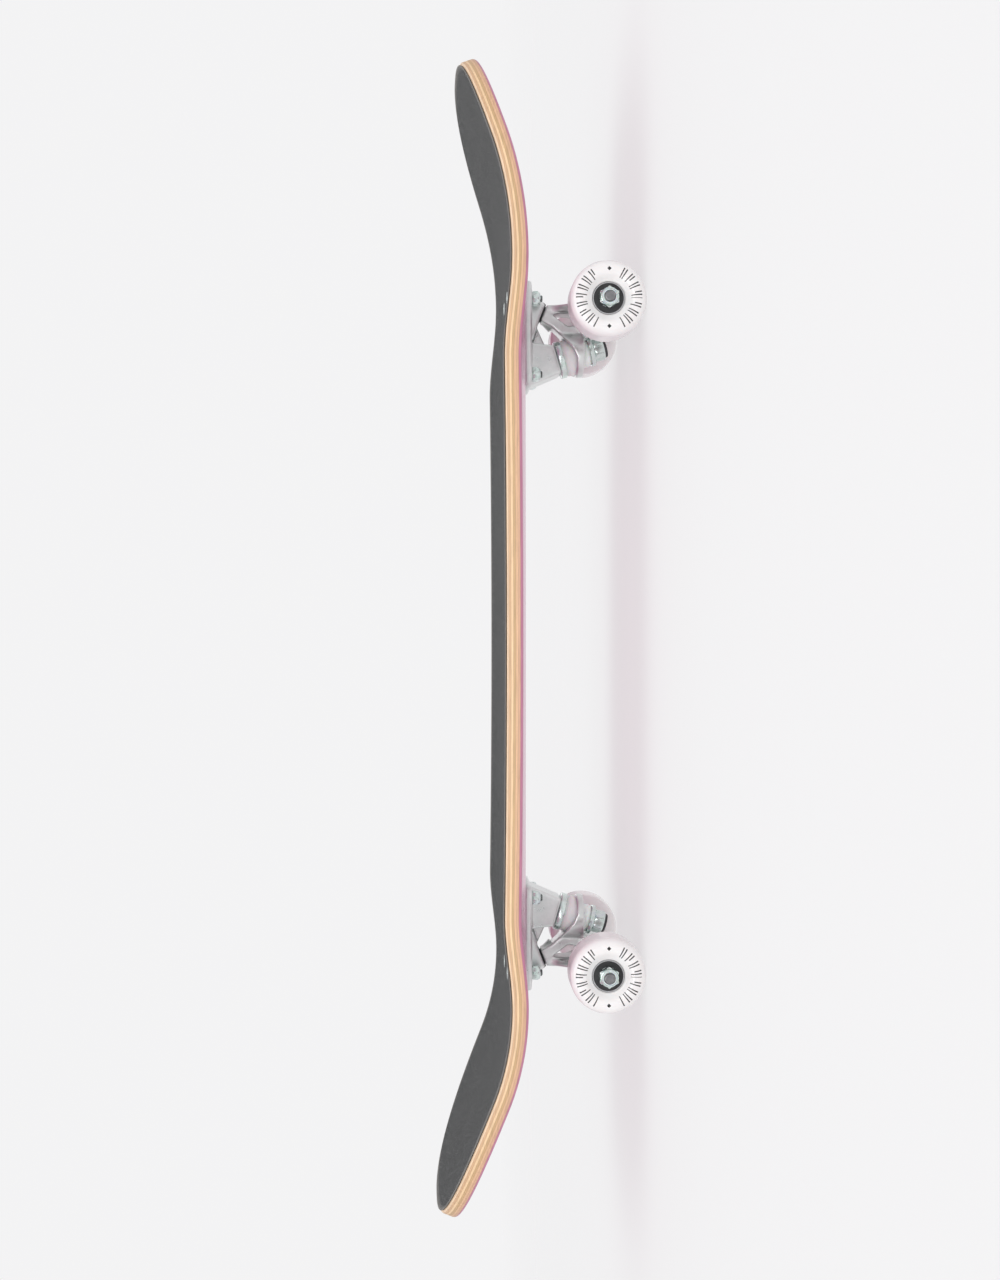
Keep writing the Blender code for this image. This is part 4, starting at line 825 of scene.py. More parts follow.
def close_sheet(sheet, thickness, corner, hole, hole_profile):
    """Turns a sheet into a closed board with rounded rails and bolt holes, and counts any open edges."""
    depth_layer = sheet.verts.layers.float.new("depth")
    top_faces = sheet.faces[:]
    rings = border_rings(sheet)
    copied = bmesh.ops.duplicate(sheet, geom=sheet.verts[:] + sheet.edges[:] + top_faces)
    under_faces = [item for item in copied["geom"] if isinstance(item, bmesh.types.BMFace)]
    under_verts = [item for item in copied["geom"] if isinstance(item, bmesh.types.BMVert)]
    shrink = hole_profile[-1][1]
    for vert in under_verts:
        x, y = vert.co.x, vert.co.y
        for bolt in BOLTS:
            away = Vector((x - bolt.x, y - bolt.y, 0.0))
            if away.length < hole * 1.02:
                vert.co += away.normalized() * shrink
        vert.co -= slope_normal(x, y) * thickness
        vert[depth_layer] = 1.0
    bmesh.ops.reverse_faces(sheet, faces=under_faces)
    upper = quarter_steps(corner, 6)
    lower = [(thickness - depth, out) for depth, out in reversed([(0.0, 0.0)] + upper[:-1])]
    wall = run_wall(sheet, rings[0], outward_of(rings[0]), upper + [(thickness - corner, corner)] + lower,
                    depth_layer, thickness)
    for ring in rings[1:]:
        centre = sum((vert.co for vert in ring), Vector()) / len(ring)
        wall += run_wall(sheet, ring, outward_of(ring, centre), hole_profile, depth_layer, thickness)
    for face in wall:
        face.material_index = 1
    for face in under_faces:
        face.material_index = 2
    bmesh.ops.remove_doubles(sheet, verts=sheet.verts, dist=0.01 * MM)
    bmesh.ops.recalc_face_normals(sheet, faces=sheet.faces)
    return sum(1 for edge in sheet.edges if not edge.is_manifold)


# %% The deck
RAIL_ROUND = 2.4 * MM
BOLT_SEAT = 4.27 * MM
BOLT_ROOM = 2.72 * MM
COUNTERSINK_DEPTH = 1.9 * MM
sheet = pressed_sheet(RAIL_ROUND, BOLT_SEAT, 0.0)
countersink = [(depth, BOLT_ROOM - BOLT_SEAT) for depth in (COUNTERSINK_DEPTH, DECK_THICKNESS)]
open_edges = close_sheet(sheet, DECK_THICKNESS, RAIL_ROUND, BOLT_SEAT, countersink)
print("deck faces", len(sheet.faces), "open edges", open_edges)
keep("maple_deck", sheet, MAPLE, "board", ["deck"], sharp=50.0)

# %% [markdown]
# ## The tape
#
# The tape is the same sheet again, trimmed just inside the rail and lifted onto the wood. Its border faces
# are marked so that the material can show the filed edge. Each bolt head sits in a round hole in it.

# %% The grip tape
GRIP_INSET = 1.6 * MM
GRIP_THICKNESS = 0.87 * MM
TAPE_LIFT = GRIP_TOP - DECK_TOP - 0.03 * MM
GRIP_CORNER = 0.3 * MM
GRIP_HOLE = 4.9 * MM
sheet = pressed_sheet(GRIP_INSET, GRIP_HOLE, TAPE_LIFT)
edge_layer = sheet.verts.layers.float.new("edge")
for vert in border_rings(sheet)[0]:
    vert[edge_layer] = 1.0
close_sheet(sheet, GRIP_THICKNESS, GRIP_CORNER, GRIP_HOLE, [(GRIP_THICKNESS, 0.0)])
for face in sheet.faces:
    face.material_index = 0
print("tape faces", len(sheet.faces))
keep("grip_sheet", sheet, [GRIT], "board", ["grip_tape"], sharp=50.0)

# %% [markdown]
# ## How a casting is made
#
# A baseplate and a hanger are sand-blasted aluminium castings: every inner corner has a fillet and every
# outer edge is rubbed soft. Beveling a union of many shapes edge by edge often fails at the corners. So the
# shapes are simply overlapped and melted into one skin by a voxel remesh, bored with cutters, melted once
# more and rubbed down with a few rounds of smoothing, which is what tumbling does to the metal.

# %% The foundry
VOXEL = 0.62 * MM
RUBS = 5
print("voxel in millimetres", round(VOXEL / MM, 2))


def scratch(name, shape):
    mesh = bpy.data.meshes.new(name)
    shape.to_mesh(mesh)
    shape.free()
    made = bpy.data.objects.new(name, mesh)
    bpy.context.scene.collection.objects.link(made)
    return made


def melt(piece):
    remesh = piece.modifiers.new("Melt", "REMESH")
    remesh.mode = "VOXEL"
    remesh.voxel_size = VOXEL


def combine(piece, other, operation):
    boolean = piece.modifiers.new(operation, "BOOLEAN")
    boolean.operation = operation
    boolean.solver = "MANIFOLD"
    boolean.object = other


def finished(blank, tools):
    """Applies a scratch object's modifiers, clears the objects away and returns the shape."""
    bpy.context.view_layer.update()
    skin = bpy.data.meshes.new_from_object(blank.evaluated_get(bpy.context.evaluated_depsgraph_get()))
    for used in [blank, *tools]:
        bpy.data.objects.remove(used, do_unlink=True)
    shape = bmesh.new()
    shape.from_mesh(skin)
    bpy.data.meshes.remove(skin)
    return shape


def cast(shells, cutters, late=()):
    """One filleted casting from overlapping shells, less the cutters, with the late shells joined on."""
    blank = scratch("blank", gathered(shells))
    melt(blank)
    tools = []
    for shapes, operation in ((cutters, "DIFFERENCE"), (late, "UNION")):
        for shape in shapes:
            tools.append(scratch("tool", shape))
            combine(blank, tools[-1], operation)
    melt(blank)
    shape = finished(blank, tools)
    for _ in range(RUBS):
        bmesh.ops.smooth_vert(
            shape, verts=shape.verts, factor=0.5, use_axis_x=True, use_axis_y=True, use_axis_z=True,
        )
    return shape


def trimmed(shape, point, direction):
    """Cuts away what lies past a plane and closes the cut."""
    cut = bmesh.ops.bisect_plane(
        shape, geom=shape.verts[:] + shape.edges[:] + shape.faces[:], plane_co=point, plane_no=direction,
        clear_outer=True,
    )["geom_cut"]
    rim = [item for item in cut if isinstance(item, bmesh.types.BMEdge)]
    bmesh.ops.holes_fill(shape, edges=rim, sides=0)
    bmesh.ops.recalc_face_normals(shape, faces=shape.faces)
    return shape


def for_both_trucks(make, name, materials, body, node, sharp=40.0):
    """Makes a piece once in the truck's frame and keeps a turned copy of it on each truck."""
    pattern = make()
    for end, place in TRUCKS.items():
        copied = placed(pattern.copy(), place)
        keep(f"{end}_{name}", copied, materials, body.format(end=end), [f"{end}_{node}"], sharp)
    count = len(pattern.faces)
    pattern.free()
    print(name, "faces", count)


# %% [markdown]
# ## The baseplate
#
# The baseplate bolts to the deck through four holes. It carries a slanted pedestal for the kingpin, a boss
# with the socket for the hanger's pivot, and a thin web that ties the two together. The kingpin's head
# hides in a pocket on the deck's side. All sizes are the truck's own, in its frame.

# %% Frames inside a truck
KINGPIN_SEAT, KINGPIN_TILT = Vector((-14.2, 0.0, 25.0)) * MM, math.radians(15.5)
PIVOT_MOUTH, MOUTH_TILT, MOUTH_LENGTH = Vector((19.7, 0.0, 14.1)) * MM, math.radians(21.8), 11.6 * MM
RING_CENTRE, RING_THICKNESS, RING_RADIUS = Vector((-9.7, 0.0, 41.3)) * MM, 4.0 * MM, 16.3 * MM
AXLE_X = abs(AXLES["front"].x - TRUCKS["front"].translation.x)
TRUCK_HEIGHT = DECK_BOTTOM - AXLES["front"].z
PLATE_THICKNESS = 5.3 * MM
STEER_WAY = (RING_CENTRE - PIVOT_MOUTH).normalized()
KINGPIN_FRAME = Matrix.Translation(KINGPIN_SEAT) @ Matrix.Rotation(KINGPIN_TILT, 4, "Y")
STEER_FRAME = Matrix.Translation(PIVOT_MOUTH) @ Matrix.Rotation(math.atan2(STEER_WAY.x, STEER_WAY.z), 4, "Y")
AXLE_FRAME = Matrix.Translation((AXLE_X, 0.0, TRUCK_HEIGHT)) @ Matrix.Rotation(-math.pi / 2, 4, "X")


def mouth_point(along, away):
    turn = Matrix.Rotation(-MOUTH_TILT, 4, "Y")
    point = PIVOT_MOUTH + turn @ Vector((along, 0.0, away))
    return point.x, point.z


def kingpin_point(across, along):
    point = KINGPIN_FRAME @ Vector((across, 0.0, along))
    return point.x, point.z


def ball_end(radius, top, centre):
    """A rod with a round end, as points for the lathe."""
    turns = [math.pi / 2 * step / 8 for step in range(9)]
    ball = [(radius * math.cos(turn), centre - radius * math.sin(turn)) for turn in turns]
    return [(0.0, top), (radius, top)] + ball


PEG_RADIUS = 5.2 * MM
PEG_BALL = PEG_RADIUS - 8.7 * MM
CUP_RADIUS = PEG_RADIUS + 1.7 * MM
print("steering axis leans", round(math.degrees(math.atan2(STEER_WAY.x, STEER_WAY.z)), 2), "degrees")


# %% The baseplate, cast
def plate_shell():
    shape = bmesh.new()
    low, high = Vector((-36.4, -28.0, 0.1)) * MM, Vector((40.0, 28.0, 5.3)) * MM
    size = Matrix.Diagonal((*(high - low), 1.0))
    bmesh.ops.create_cube(shape, size=1.0, matrix=Matrix.Translation((low + high) / 2) @ size)
    upright = [edge for edge in shape.edges if abs(edge.verts[0].co.z - edge.verts[1].co.z) > MM]
    rounded(shape, upright, 9.0 * MM, 8)
    rim = [edge for edge in shape.edges if min(vert.co.z for vert in edge.verts) > 5.0 * MM]
    rounded(shape, rim, 0.8 * MM, 2)
    return shape


def bolt_spots():
    return [
        Matrix.Translation((row * BOLT_REACH["front"], side * abs(BOLTS[0].y), 0.0))
        for row in (-1.0, 1.0) for side in (-1.0, 1.0)
    ]


def make_baseplate():
    buried = PLATE_THICKNESS / 2
    block = [
        (-33.4 * MM, buried), (-33.4 * MM, 6.5 * MM), kingpin_point(-10.4 * MM, 0.0),
        kingpin_point(10.0 * MM, 0.0), (-3.4 * MM, 8.7 * MM), (-1.6 * MM, buried),
    ]
    boss = [
        (-1.6 * MM, buried), (-1.3 * MM, 7.5 * MM), mouth_point(-MOUTH_LENGTH / 2, 0.0),
        mouth_point(MOUTH_LENGTH / 2, 0.0), (36.0 * MM, 5.3 * MM), (36.6 * MM, buried),
    ]
    web = [(-5.0 * MM, buried), (-5.0 * MM, 17.3 * MM), (9.6 * MM, 10.7 * MM), (9.6 * MM, buried)]
    shells = [
        plate_shell(), slab(block, 27.0 * MM, 1.2 * MM), slab(boss, 19.5 * MM, 1.2 * MM),
        slab(web, 4.4 * MM, 0.8 * MM),
    ]
    shells += [placed(drum(6.4 * MM, 3.0 * MM, 5.8 * MM, 32), spot) for spot in bolt_spots()]
    cutters = [
        placed(drum(5.1 * MM, -60.0 * MM, 40.0 * MM), KINGPIN_FRAME),
        placed(drum(8.6 * MM, -60.0 * MM, -17.3 * MM), KINGPIN_FRAME),
        placed(spun(ball_end(CUP_RADIUS + 0.2 * MM, 30.0 * MM, PEG_BALL), 48), STEER_FRAME),
    ]
    cutters += [placed(drum(BOLT_ROOM, -5.0 * MM, 12.0 * MM, 24), spot) for spot in bolt_spots()]
    return cast(shells, cutters)


for_both_trucks(make_baseplate, "cast_baseplate", [CASTING], "board", "baseplate", 60.0)

# %% [markdown]
# ## The hanger
#
# The hanger is the part that steers. Its body holds the axle, a flat ring sits between the two bushings,
# and an arm with a window through it runs down to a round peg in the baseplate's socket. From the front, a
# fin spreads from the arm to the body's shoulders. The shapes that must clear something, such as the room
# round the lower bushing, are cut after the melt. The peg is joined on last, because the cut that frees the
# arm from the baseplate would take it away.

# %% Shapes of the hanger
SWING_ROOM = 1.1 * MM
ARM_WIDTH = 17.0 * MM
ARM_EDGE = [(9.4 * MM, 20.3 * MM), (3.5 * MM, 27.0 * MM), (-1.6 * MM, 31.7 * MM), (-8.0 * MM, 36.3 * MM)]
HALF_BODY = 73.0 * MM
WINDOW = [
    (18.6 * MM, 21.8 * MM), (17.4 * MM, 22.0 * MM), (9.6 * MM, 33.0 * MM), (10.4 * MM, 38.6 * MM),
    (18.6 * MM, 38.6 * MM),
]
RING_LOW = RING_CENTRE.z - RING_THICKNESS / 2
RING_HIGH = RING_CENTRE.z + RING_THICKNESS / 2
RING_PLACE = Matrix.Translation((RING_CENTRE.x, 0.0, 0.0))


def hanger_body():
    """The axle's housing: a waist that swells to the middle, and a shoulder at each end."""
    half = [
        (0.0, HALF_BODY / MM), (9.0, HALF_BODY / MM), (9.9, 72.5), (10.2, 71.6), (10.2, 66.5), (9.9, 64.8),
        (9.3, 62.4), (9.05, 60.0), (9.1, 52.0), (9.3, 36.0), (9.5, 18.0), (9.6, 0.0),
    ]
    points = [(radius * MM, along * MM) for radius, along in half]
    points += [(radius, -along) for radius, along in reversed(points[:-1])]
    return placed(spun(points, 64), AXLE_FRAME)


def hanger_fin(arm_end, fin_x):
    """The web between arm and body, drawn from the front with a hollow curve on either side."""
    foot = Vector((ARM_WIDTH / 2 + 0.5 * MM, arm_end + 5.0 * MM))
    knee = Vector((11.0 * MM, TRUCK_HEIGHT - 13.0 * MM))
    tip = Vector((59.0 * MM, TRUCK_HEIGHT - 5.0 * MM))
    side = [(foot.x, arm_end)]
    for step in range(9):
        share = step / 8
        point = foot * (1 - share) ** 2 + knee * 2 * share * (1 - share) + tip * share ** 2
        side.append((point.x, point.y))
    side.append((tip.x, TRUCK_HEIGHT + 1.0 * MM))
    outline = side + [(-across, away) for across, away in reversed(side)]
    facing = Matrix.Translation((fin_x, 0.0, 0.0)) @ Matrix.Rotation(math.pi / 2, 4, "Z")
    return placed(slab(outline, 5.2 * MM, 1.2 * MM), facing)


def hanger_ring():
    """The flat ring with its wall, trimmed off along the arm's inner edge."""
    ring = placed(drum(RING_RADIUS, ARM_EDGE[1][1], RING_HIGH + 0.8 * MM), RING_PLACE)
    skirt = RING_LOW - 0.8 * MM
    far = RING_CENTRE.x - 2 * RING_RADIUS
    away = [
        ARM_EDGE[0], ARM_EDGE[1], ARM_EDGE[3], (-13.5 * MM, skirt), (far, skirt), (far, 0.0),
        (ARM_EDGE[0][0], 0.0),
    ]
    blank, tool = scratch("ring", ring), scratch("ring_tool", slab(away, 4 * RING_RADIUS))
    combine(blank, tool, "DIFFERENCE")
    return finished(blank, [tool])


# %% The hanger, cast
def make_hanger():
    arm_end = mouth_point(0.0, SWING_ROOM)[1]
    fin_x = mouth_point(MOUTH_LENGTH / 2, 0.0)[0] - 2.6 * MM
    arm = [
        mouth_point(MOUTH_LENGTH / 2 - 0.3 * MM, 0.0), (fin_x + 2.3 * MM, TRUCK_HEIGHT - 8.0 * MM),
        (AXLE_X, TRUCK_HEIGHT), (1.5 * MM, RING_HIGH + 1.6 * MM), (RING_CENTRE.x, RING_HIGH - 0.3 * MM),
        *reversed(ARM_EDGE), mouth_point(-MOUTH_LENGTH / 2, 0.0),
    ]
    shells = [hanger_body(), hanger_fin(arm_end, fin_x), slab(arm, ARM_WIDTH, 1.3 * MM), hanger_ring()]
    wide = 46.0 * MM
    corners = [(-wide, SWING_ROOM - wide), (wide, SWING_ROOM - wide), (wide, SWING_ROOM), (-wide, SWING_ROOM)]
    face = slab([mouth_point(along, away) for along, away in corners], wide)
    seat_room = placed(drum(14.1 * MM, -52.0 * MM, 60.0 * MM), KINGPIN_FRAME)
    socket_room = placed(drum(11.7 * MM, -52.0 * MM, 90.0 * MM), KINGPIN_FRAME)
    ring_hole = placed(drum(7.7 * MM, 34.0 * MM, 48.0 * MM), RING_PLACE)
    cutters = [
        face,
        trimmed(seat_room, (0.0, 0.0, RING_LOW), (0.0, 0.0, 1.0)),
        trimmed(socket_room, (0.0, 0.0, RING_HIGH), (0.0, 0.0, -1.0)),
        slab(WINDOW, 60.0 * MM),
        ring_hole,
    ]
    peg = placed(spun(ball_end(PEG_RADIUS, 13.0 * MM, PEG_BALL), 48), STEER_FRAME)
    return cast(shells, cutters, late=[peg])


for_both_trucks(make_hanger, "cast_hanger", [CASTING], "{end}_steering", "hanger", 60.0)

# %% [markdown]
# ## Bushings, washers and the pivot cup
#
# Two urethane bushings let the truck lean and bring it back. They are lathe work: barrels that bulge under
# load, cut off level where the hanger's flat ring squeezes them, which is why they look like wedges from
# the side. A pressed cup washer holds each one. The pivot cup is a little urethane pot for the peg.

# %% Bushings, cup washers and pivot cup
BORE = 5.06
RING_GAP = 0.05 * MM
RING_ON_KINGPIN = (RING_HIGH - KINGPIN_SEAT.z) / math.cos(KINGPIN_TILT)
LOWER_WASHER_BASE = 0.2 * MM
UPPER_WASHER_BASE = RING_ON_KINGPIN + 6.5 * MM
CUP_FLOOR = 1.8


def scaled(points, start=0.0):
    """Turns a profile in millimetres into metres and begins it at a height."""
    return [(radius * MM, start + along * MM) for radius, along in points]


def on_kingpin(profile):
    return placed(spun(profile, 64, closed=True), KINGPIN_FRAME)


def make_lower_bushing():
    profile = scaled([
        (BORE, 2.3), (11.2, 2.3), (11.5, 2.6), (11.7, 4.0), (12.1, 4.9), (12.95, 6.1), (13.3, 7.6),
        (13.4, 9.4), (13.3, 11.2), (13.0, 13.0), (12.6, 15.0), (12.4, 19.0), (BORE, 19.0),
    ])
    return trimmed(on_kingpin(profile), (0.0, 0.0, RING_LOW - RING_GAP), (0.0, 0.0, 1.0))


def make_upper_bushing():
    profile = scaled([
        (BORE, 0.0), (8.4, 0.0), (8.6, -0.3), (8.7, -1.2), (9.4, -2.0), (9.9, -3.2), (10.1, -4.6),
        (9.9, -6.4), (9.6, -8.4), (9.5, -13.0), (BORE, -13.0),
    ], UPPER_WASHER_BASE - 0.2 * MM)
    return trimmed(on_kingpin(profile), (0.0, 0.0, RING_HIGH + RING_GAP), (0.0, 0.0, -1.0))


def cup_washer(edge, lip, base, opens_up):
    """A pressed washer of radius edge with a rolled lip, in millimetres, set on the kingpin."""
    points = [
        (BORE, CUP_FLOOR), (edge - 1.5, CUP_FLOOR), (edge - 1.3, 2.0), (edge - 1.2, lip - 0.1),
        (edge - 1.0, lip), (edge - 0.2, lip), (edge, lip - 0.2), (edge, 0.8), (edge - 0.2, 0.3),
        (edge - 0.7, 0.0), (BORE, 0.0),
    ]
    if not opens_up:
        points = [(across, CUP_FLOOR - along) for across, along in points]
    return on_kingpin(scaled(points, base))


def make_lower_washer():
    return cup_washer(13.5, 4.3, LOWER_WASHER_BASE, opens_up=True)


def make_upper_washer():
    return cup_washer(10.6, 3.1, UPPER_WASHER_BASE, opens_up=False)


def make_pivot_cup():
    """A pot round the peg, trimmed to the mouth of its socket, with a rolled rim."""
    outer = ball_end(CUP_RADIUS, 9.0 * MM, PEG_BALL)[1:]
    inner = ball_end(PEG_RADIUS + 0.2 * MM, 9.0 * MM, PEG_BALL)[1:]
    cup = placed(spun(outer + list(reversed(inner)), 48, closed=True), STEER_FRAME)
    turn = Matrix.Rotation(-MOUTH_TILT, 4, "Y")
    away = turn @ Vector((0.0, 0.0, 1.0))
    return trimmed(cup, PIVOT_MOUTH + away * 0.5 * MM, away)


STACK = [
    (make_lower_bushing, "lower_bushing_barrel", BUSHING_URETHANE, "lower_bushing", "bushing_urethane"),
    (make_upper_bushing, "upper_bushing_cone", BUSHING_URETHANE, "upper_bushing", "bushing_urethane"),
    (make_pivot_cup, "pivot_pot", CUP_URETHANE, "pivot_cup", "pivot_cup_urethane"),
    (make_lower_washer, "lower_cup_washer", ZINC, "lower_washer", "zinc_plate"),
    (make_upper_washer, "upper_cup_washer", ZINC, "upper_washer", "zinc_plate"),
]
for make, name, finish, node, slot in STACK:
    for_both_trucks(make, name, [finish], "board", node)

# %% [markdown]
# ## Nuts, bolts and pins
#
# Each nut is a lock nut: a hexagon with a chamfered face, and a round collar that holds a nylon ring. A
# real one is turned from hexagon bar, so the chamfer meets each flat in an arc. The same thing happens
# here the other way round: the billet is spun round and its points are then drawn in to six flats, and
# whatever the chamfer already took stays round. A hexagon socket is made with the same helper.

# %% Lock nuts and threads
TURNS = 96


def to_hexagon(shape, flats, low, high, socket=False):
    """Draws points between two radii onto six flats; a socket's wall goes right out to them."""
    for vert in shape.verts:
        radius = math.hypot(vert.co.x, vert.co.y)
        if not low < radius < high:
            continue
        turn = math.atan2(vert.co.y, vert.co.x) % (math.pi / 3) - math.pi / 6
        limit = flats / 2 / math.cos(turn)
        wanted = limit if socket else min(radius, limit)
        vert.co.x *= wanted / radius
        vert.co.y *= wanted / radius


def paint(shape, index):
    for face in shape.faces:
        face.material_index = index
    return shape


def lock_nut(flats, nut_height, bore):
    """A nut standing on z = 0 with its nylon collar on top."""
    across, tall = flats / MM, nut_height / MM
    corner = across / math.sqrt(3)
    neck = across / 2 - 0.35
    hole = bore / MM
    points = [
        (hole, 0.5), (hole + 0.5, 0.0), (across / 2 - 0.2, 0.0), (corner, 0.07 * across),
        (corner, 0.68 * tall), (across / 2 - 0.1, 0.68 * tall + 0.08 * across), (neck, 0.78 * tall),
        (neck, 0.92 * tall), (neck - 0.5, tall), (neck - 1.0, tall), (neck - 1.15, tall - 0.25),
        (neck - 1.15, 0.6 * tall), (hole, 0.6 * tall),
    ]
    billet = spun(scaled(points), TURNS, closed=True)
    to_hexagon(billet, flats, across / 2 * 0.97 * MM, 2 * flats)
    insert = [(hole, 0.62 * tall), (neck - 1.2, 0.62 * tall), (neck - 1.2, tall - 0.35), (hole, tall - 0.35)]
    return gathered([billet, paint(spun(scaled(insert), 48, closed=True), 1)])


def mark_thread(shape, threaded):
    """Stores each point's distance along z, in millimetres, and whether that distance is threaded."""
    along_layer = shape.verts.layers.float.new("along")
    thread_layer = shape.verts.layers.float.new("thread")
    for vert in shape.verts:
        along = vert.co.z / MM
        vert[along_layer] = along
        vert[thread_layer] = 1.0 if threaded(along) else 0.0
    return shape


# %% Kingpin and its nut
KINGPIN_NUT_BASE = UPPER_WASHER_BASE + 2.1 * MM
KINGPIN_FLATS = 14.3 * MM
KINGPIN_THREAD = 18.0


def make_kingpin():
    end = KINGPIN_NUT_BASE / MM + 9.3
    points = [
        (0.0, -23.0), (6.6, -23.0), (8.25, -22.3), (8.25, -17.8), (5.0, -17.7), (4.76, -17.4),
        (4.76, end - KINGPIN_THREAD), (4.74, end - KINGPIN_THREAD + 0.1), (4.74, end - 0.9), (3.9, end),
        (0.0, end),
    ]
    pin = spun(scaled(points), TURNS)
    to_hexagon(pin, KINGPIN_FLATS, 7.0 * MM, 9.0 * MM)
    mark_thread(pin, lambda along: along > end - KINGPIN_THREAD - 0.01)
    return placed(pin, KINGPIN_FRAME)


def make_kingpin_nut():
    """The kingpin's nut has a black collar."""
    nut = lock_nut(KINGPIN_FLATS, 9.6 * MM, 4.85 * MM)
    for face in nut.faces:
        if face.calc_center_median().z > 7.6 * MM:
            face.material_index = 1
    return placed(nut, KINGPIN_FRAME @ Matrix.Translation((0.0, 0.0, KINGPIN_NUT_BASE)))


NUT_METALS = [ZINC, BLACK_NYLON]
for_both_trucks(make_kingpin, "threaded_kingpin", [ZINC_THREAD], "board", "kingpin")
for_both_trucks(make_kingpin_nut, "kingpin_lock_nut", NUT_METALS, "board", "kingpin_nut", 30.0)

# %% [markdown]
# ## Mounting hardware
#
# Eight countersunk bolts hold the trucks. Their heads sit flush in the tape, with a hexagon socket, and a
# small lock nut closes each one under the baseplate. All eight are the same, so one loop makes them.

# %% Bolts and lock nuts through the deck
BOLT_LENGTH = 25.4
BOLT_PLAIN_LENGTH = 12.0
BOLT_NUT_TURN = 0.4


def mounting_bolt():
    points = [
        (0.0, -1.9), (1.6, -1.9), (1.6, -0.15), (1.85, 0.0), (4.5, 0.0), (4.7, -0.2), (2.415, -2.8),
        (2.415, -BOLT_PLAIN_LENGTH), (2.4, -BOLT_PLAIN_LENGTH - 0.1), (2.4, 0.5 - BOLT_LENGTH),
        (1.9, -BOLT_LENGTH), (0.0, -BOLT_LENGTH),
    ]
    bolt = spun(scaled(points), 48)
    to_hexagon(bolt, 3.2 * MM, 1.5 * MM, 1.7 * MM, socket=True)
    return mark_thread(bolt, lambda along: along < 0.01 - BOLT_PLAIN_LENGTH)


nut_faces = 0
for end in TRUCKS:
    for row in ("outer", "inner"):
        for side in ("left", "right"):
            spot = f"{end}_{row}_{side}"
            head = middle(spot + "_bolt")
            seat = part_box(spot + "_lock_nut")[1]
            upright = Matrix.Translation((head.x, head.y, GRIP_TOP))
            keep(spot + "_socket_bolt", placed(mounting_bolt(), upright), [ZINC_THREAD], "board",
                 [spot + "_bolt"], 30.0)
            under = Matrix.Translation((head.x, head.y, seat.z)) @ Matrix.Rotation(math.pi, 4, "X")
            turned = under @ Matrix.Rotation(BOLT_NUT_TURN, 4, "Z")
            nut = placed(lock_nut(9.53 * MM, 5.6 * MM, 2.45 * MM), turned)
            nut_faces += len(nut.faces)
            keep(spot + "_nyloc_nut", nut, NUT_METALS, "board", [spot + "_lock_nut"], 30.0)
print("eight bolts and nuts; nut faces", nut_faces)

# %% [markdown]
# ## Axles
#
# One steel rod runs through each hanger and out through both wheels. Its ends are threaded for the axle
# nuts. It is made along z in the axle's own frame, so the thread's rings follow it.

# %% Axles
HALF_AXLE = 107.98
AXLE_THREAD = 10.0


def make_axle():
    end = [
        (0.0, HALF_AXLE), (2.9, HALF_AXLE), (3.05, HALF_AXLE - 0.3), (3.9, HALF_AXLE - 1.1),
        (3.9, HALF_AXLE - AXLE_THREAD), (3.97, HALF_AXLE - AXLE_THREAD - 0.2),
    ]
    rod = spun(scaled(end + [(radius, -along) for radius, along in reversed(end)]), 48)
    mark_thread(rod, lambda along: abs(along) > HALF_AXLE - AXLE_THREAD - 0.1)
    return placed(rod, AXLE_FRAME)


for_both_trucks(make_axle, "steel_axle", [AXLE_STEEL], "{end}_steering", "axle")

# %% [markdown]
# ## Wheels, bearings and axle washers
#
# A wheel is cast round nothing but a stepped core: a flat tread, soft shoulders, a face that dips to the
# hub, and a seat for a bearing on either side. Each bearing shows an outer ring, a black seal set a little
# way in, and an inner ring. A speed washer stands on either side of the pair, and the nut closes the end.
# All of it is lathe work about the axle. The left wheels look out along +Y and the right ones along -Y.

# %% Profiles along the axle
PRINTED_FROM = 8.0 * MM
SEAL_INNER, SEAL_OUTER = 6.0 * MM, 9.9 * MM


def wheel_section():
    """Half a wheel's section in millimetres, from the bearing's seat out to the middle of the tread."""
    points = [
        (11.15, 12.0), (11.4, 12.5), (12.2, 12.75), (12.9, 13.1), (15.0, 14.6), (16.2, 15.3), (17.6, 15.65),
        (19.4, 15.7),
    ]
    for step in range(1, 11):
        turn = math.pi / 2 * step / 10
        points.append((19.4 + 6.4 * math.sin(turn) ** 1.15, 9.0 + 6.7 * math.cos(turn) ** 0.95))
    return points + [(25.8, 4.5), (25.8, 0.0)]


def make_wheel(place, outward):
    outer = wheel_section()
    section = outer + [(radius, -along) for radius, along in reversed(outer[:-1])]
    section += [(11.1, -4.9), (9.4, -4.7), (9.4, 4.7), (11.1, 4.9)]
    wheel = placed(spun(scaled(section), TURNS, closed=True), place)
    face_map = wheel.loops.layers.uv.new("face")
    centre = place.translation
    for face in wheel.faces:
        shows = (face.calc_center_median() - centre).dot(outward) > PRINTED_FROM
        for corner in face.loops:
            across = corner.vert.co - centre
            corner[face_map].uv = (across.x / MM, across.z / MM) if shows else (0.0, 0.0)
    return wheel


def make_bearing(width):
    """Outer ring, seals and inner ring in one section; the seals' faces take the second finish."""
    half = width / 2 / MM
    side = [
        (4.07, half - 0.3), (4.3, half), (5.9, half), (6.1, half - 0.2), (6.15, half - 0.45),
        (9.8, half - 0.45), (9.95, half - 0.2), (10.1, half), (10.75, half), (11.0, half - 0.25),
    ]
    section = side + [(radius, -along) for radius, along in reversed(side)]
    bearing = spun(scaled(section), 64, closed=True)
    for face in bearing.faces:
        spot = face.calc_center_median()
        if SEAL_INNER < math.hypot(spot.x, spot.y) < SEAL_OUTER:
            face.material_index = 1
    return bearing


